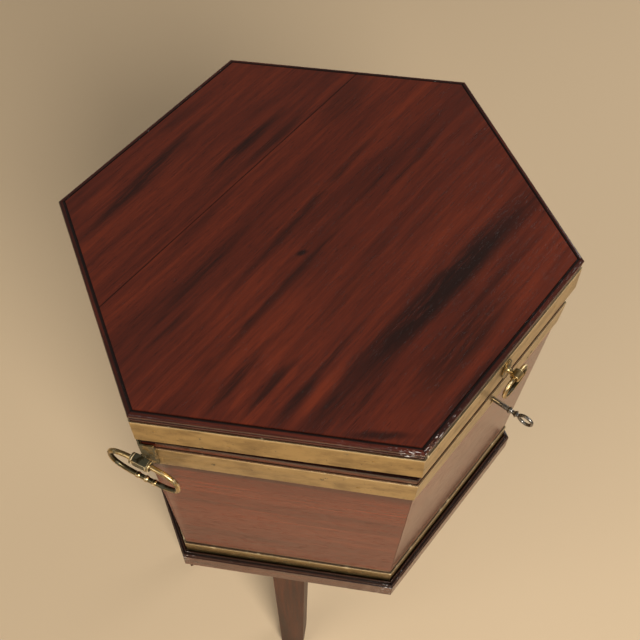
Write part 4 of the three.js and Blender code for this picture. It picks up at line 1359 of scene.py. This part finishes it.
class CELLARETTE_OT_lifting_ring(bpy.types.Operator):
    """Oval plate, eye and ring on the front of the lid"""

    bl_idname = "cellarette.lifting_ring"
    bl_label = "Lifting ring"

    def execute(self, context):
        shape = context.scene.cellarette_shape
        pivot = SHUT @ Vector(JOINTS["lid_ring_swing"]["pos_m"])
        across, up = Vector((1, 0, 0)), Vector((0, 0, 1))
        eye_radius, eye_reach, stand_off = 0.0046, 0.0045, 0.0112
        width, height = 0.034, 0.0215
        bm = bmesh.new()
        eye = rounded_loop(eye_radius, 40, 2)
        bored_bar(bm, pivot, across, up, eye, shape.ring_bar + 0.0005, (-eye_reach, eye_reach), 0.0006)
        back = Vector((0, pivot.y + stand_off, pivot.z))
        self.plate(bm, back)
        neck = [(0.0044, 0.0014), (0.0030, 0.0026), (0.0026, 0.0045), (0.0030, 0.0074)]
        lathe(bm, neck, back, (0, -1, 0))
        face_outward(bm)
        bmesh.ops.transform(bm, matrix=OPENED, verts=bm.verts[:])
        settle("ring_eye", bm, "lid", "fitting_brass", ("lid_ring_bracket",), sharp=40)
        ring = bmesh.new()
        hanging = pivot - Vector((0, 0, height / 2))
        bent_bar(ring, oval_stations(width, height, 2.7, shape.ring_bar, 64), (hanging, across, up))
        mark_ring_rub_and_light(ring, hanging)
        bmesh.ops.transform(ring, matrix=OPENED, verts=ring.verts[:])
        settle("lifting_ring", ring, "lid_ring", "fitting_brass", ("lid_ring",), sharp=48)
        return {"FINISHED"}

    @staticmethod
    def plate(bm, back):
        """Oval plate with a sunk border and a raised middle."""
        half_height, narrow = 0.0125, 0.6
        steps = ((0.0, 0.0012), (0.0004, 0.0003), (0.0016, 0.0), (0.0005, -0.0004), (0.0008, 0.0005))
        matrix = axes_matrix(back, Vector((1, 0, 0)), Vector((0, 0, 1)), Vector((0, -1, 0)))
        made = bmesh.ops.create_circle(
            bm, cap_ends=True, segments=48, radius=half_height, matrix=matrix
        )["verts"]
        bmesh.ops.scale(bm, vec=(narrow, 1, 1), space=Matrix.Translation(-back), verts=made)
        face = next(iter({face for vertex in made for face in vertex.link_faces}))
        for inset, rise in steps:
            if inset:
                bmesh.ops.inset_region(bm, faces=[face], thickness=inset, use_even_offset=True)
            else:
                face = bmesh.ops.extrude_discrete_faces(bm, faces=[face])["faces"][0]
            bmesh.ops.translate(bm, verts=face.verts[:], vec=(0, -rise, 0))


class CELLARETTE_OT_stage(bpy.types.Operator):
    """Plain pale floor, soft studio light and the camera"""

    bl_idname = "cellarette.stage"
    bl_label = "Stage"

    def execute(self, context):
        stage = context.scene.cellarette_stage
        self.floor(stage)
        self.surroundings(stage)
        for name, place, target, size, watts, tint in (
            ("main_light", (-1.2, -1.9, 2.5), (0.1, -0.1, 0.4), 1.2, stage.key_power, (1.0, 0.96, 0.90)),
            ("left_light", (-2.8, 0.7, 2.0), (0.0, 0.3, 0.2), 2.4, stage.left_power, (1.0, 0.95, 0.88)),
            ("right_light", (2.9, -1.0, 1.9), (0.3, 0.0, 0.3), 2.0, stage.right_power, (1.0, 0.97, 0.94)),
        ):
            self.light(name, place, target, size, watts, tint)
        self.camera(stage)
        context.scene.view_settings.view_transform = "Standard"
        return {"FINISHED"}

    @staticmethod
    def floor(stage):
        bm = bmesh.new()
        bmesh.ops.create_grid(bm, x_segments=2, y_segments=2, size=6)
        mesh = mesh_of("floor", bm)
        recipe = Recipe("plain_floor")
        mesh.materials.append(recipe.finished(base_color=tuple(stage.floor), roughness=0.7))
        floor = linked("floor", mesh)

    @staticmethod
    def surroundings(stage):
        world = bpy.data.worlds.new("studio")
        world.use_nodes = True
        background = world.node_tree.nodes["Background"]
        background.inputs["Color"].default_value = (*stage.sky, 1)
        background.inputs["Strength"].default_value = stage.sky_strength
        bpy.context.scene.world = world

    @staticmethod
    def light(name, place, target, size, power, tint):
        data = bpy.data.lights.new(name, "AREA")
        data.shape = "DISK"
        data.size = size
        data.energy = power
        data.color = tint
        lamp = linked(name, data)
        lamp.location = place
        lamp.rotation_euler = (Vector(target) - Vector(place)).to_track_quat("-Z", "Y").to_euler()

    @staticmethod
    def camera(stage):
        """The photograph's viewpoint."""
        place = Vector((-0.4458, -0.33915, 1.4496))
        yaw, pitch, roll = math.radians(38.17), math.radians(-57.66), math.radians(0.68)
        data = bpy.data.cameras.new("camera")
        data.sensor_width = 36
        data.lens = stage.lens
        data.clip_start = 0.01
        ahead = Vector((math.cos(pitch) * math.cos(yaw), math.cos(pitch) * math.sin(yaw), math.sin(pitch)))
        level = Vector((math.sin(yaw), -math.cos(yaw), 0))
        right = math.cos(roll) * level + math.sin(roll) * level.cross(ahead)
        camera = linked("camera", data)
        camera.matrix_world = axes_matrix(place, right, right.cross(ahead), -ahead)
        bpy.context.scene.camera = camera


OPERATORS = (
    CELLARETTE_OT_stand,
    CELLARETTE_OT_case,
    CELLARETTE_OT_case_bands,
    CELLARETTE_OT_lid,
    CELLARETTE_OT_lid_band,
    CELLARETTE_OT_hinges,
    CELLARETTE_OT_lock,
    CELLARETTE_OT_key,
    CELLARETTE_OT_handles,
    CELLARETTE_OT_lifting_ring,
    CELLARETTE_OT_stage,
)


class CELLARETTE_PT_pieces(bpy.types.Panel):
    """Lists the pieces and their settings"""

    bl_idname = "CELLARETTE_PT_pieces"
    bl_label = "Cellarette"
    bl_space_type = "VIEW_3D"
    bl_region_type = "UI"
    bl_category = "Cellarette"

    def draw(self, context):
        for operator in OPERATORS:
            self.layout.operator(operator.bl_idname)
        for name, group in GROUPS.items():
            box = self.layout.box()
            for setting in group.__annotations__:
                box.prop(getattr(context.scene, name), setting)


CLASSES = (*GROUPS.values(), *OPERATORS, CELLARETTE_PT_pieces)


def register():
    for kind in CLASSES:
        bpy.utils.register_class(kind)
    for name, group in GROUPS.items():
        setattr(bpy.types.Scene, name, PointerProperty(type=group))


def unregister():
    for name in GROUPS:
        delattr(bpy.types.Scene, name)
    for kind in reversed(CLASSES):
        bpy.utils.unregister_class(kind)


def main():
    register()
    for operator in OPERATORS:
        area, name = operator.bl_idname.split(".")
        getattr(getattr(bpy.ops, area), name)()


if __name__ == "__main__":
    main()
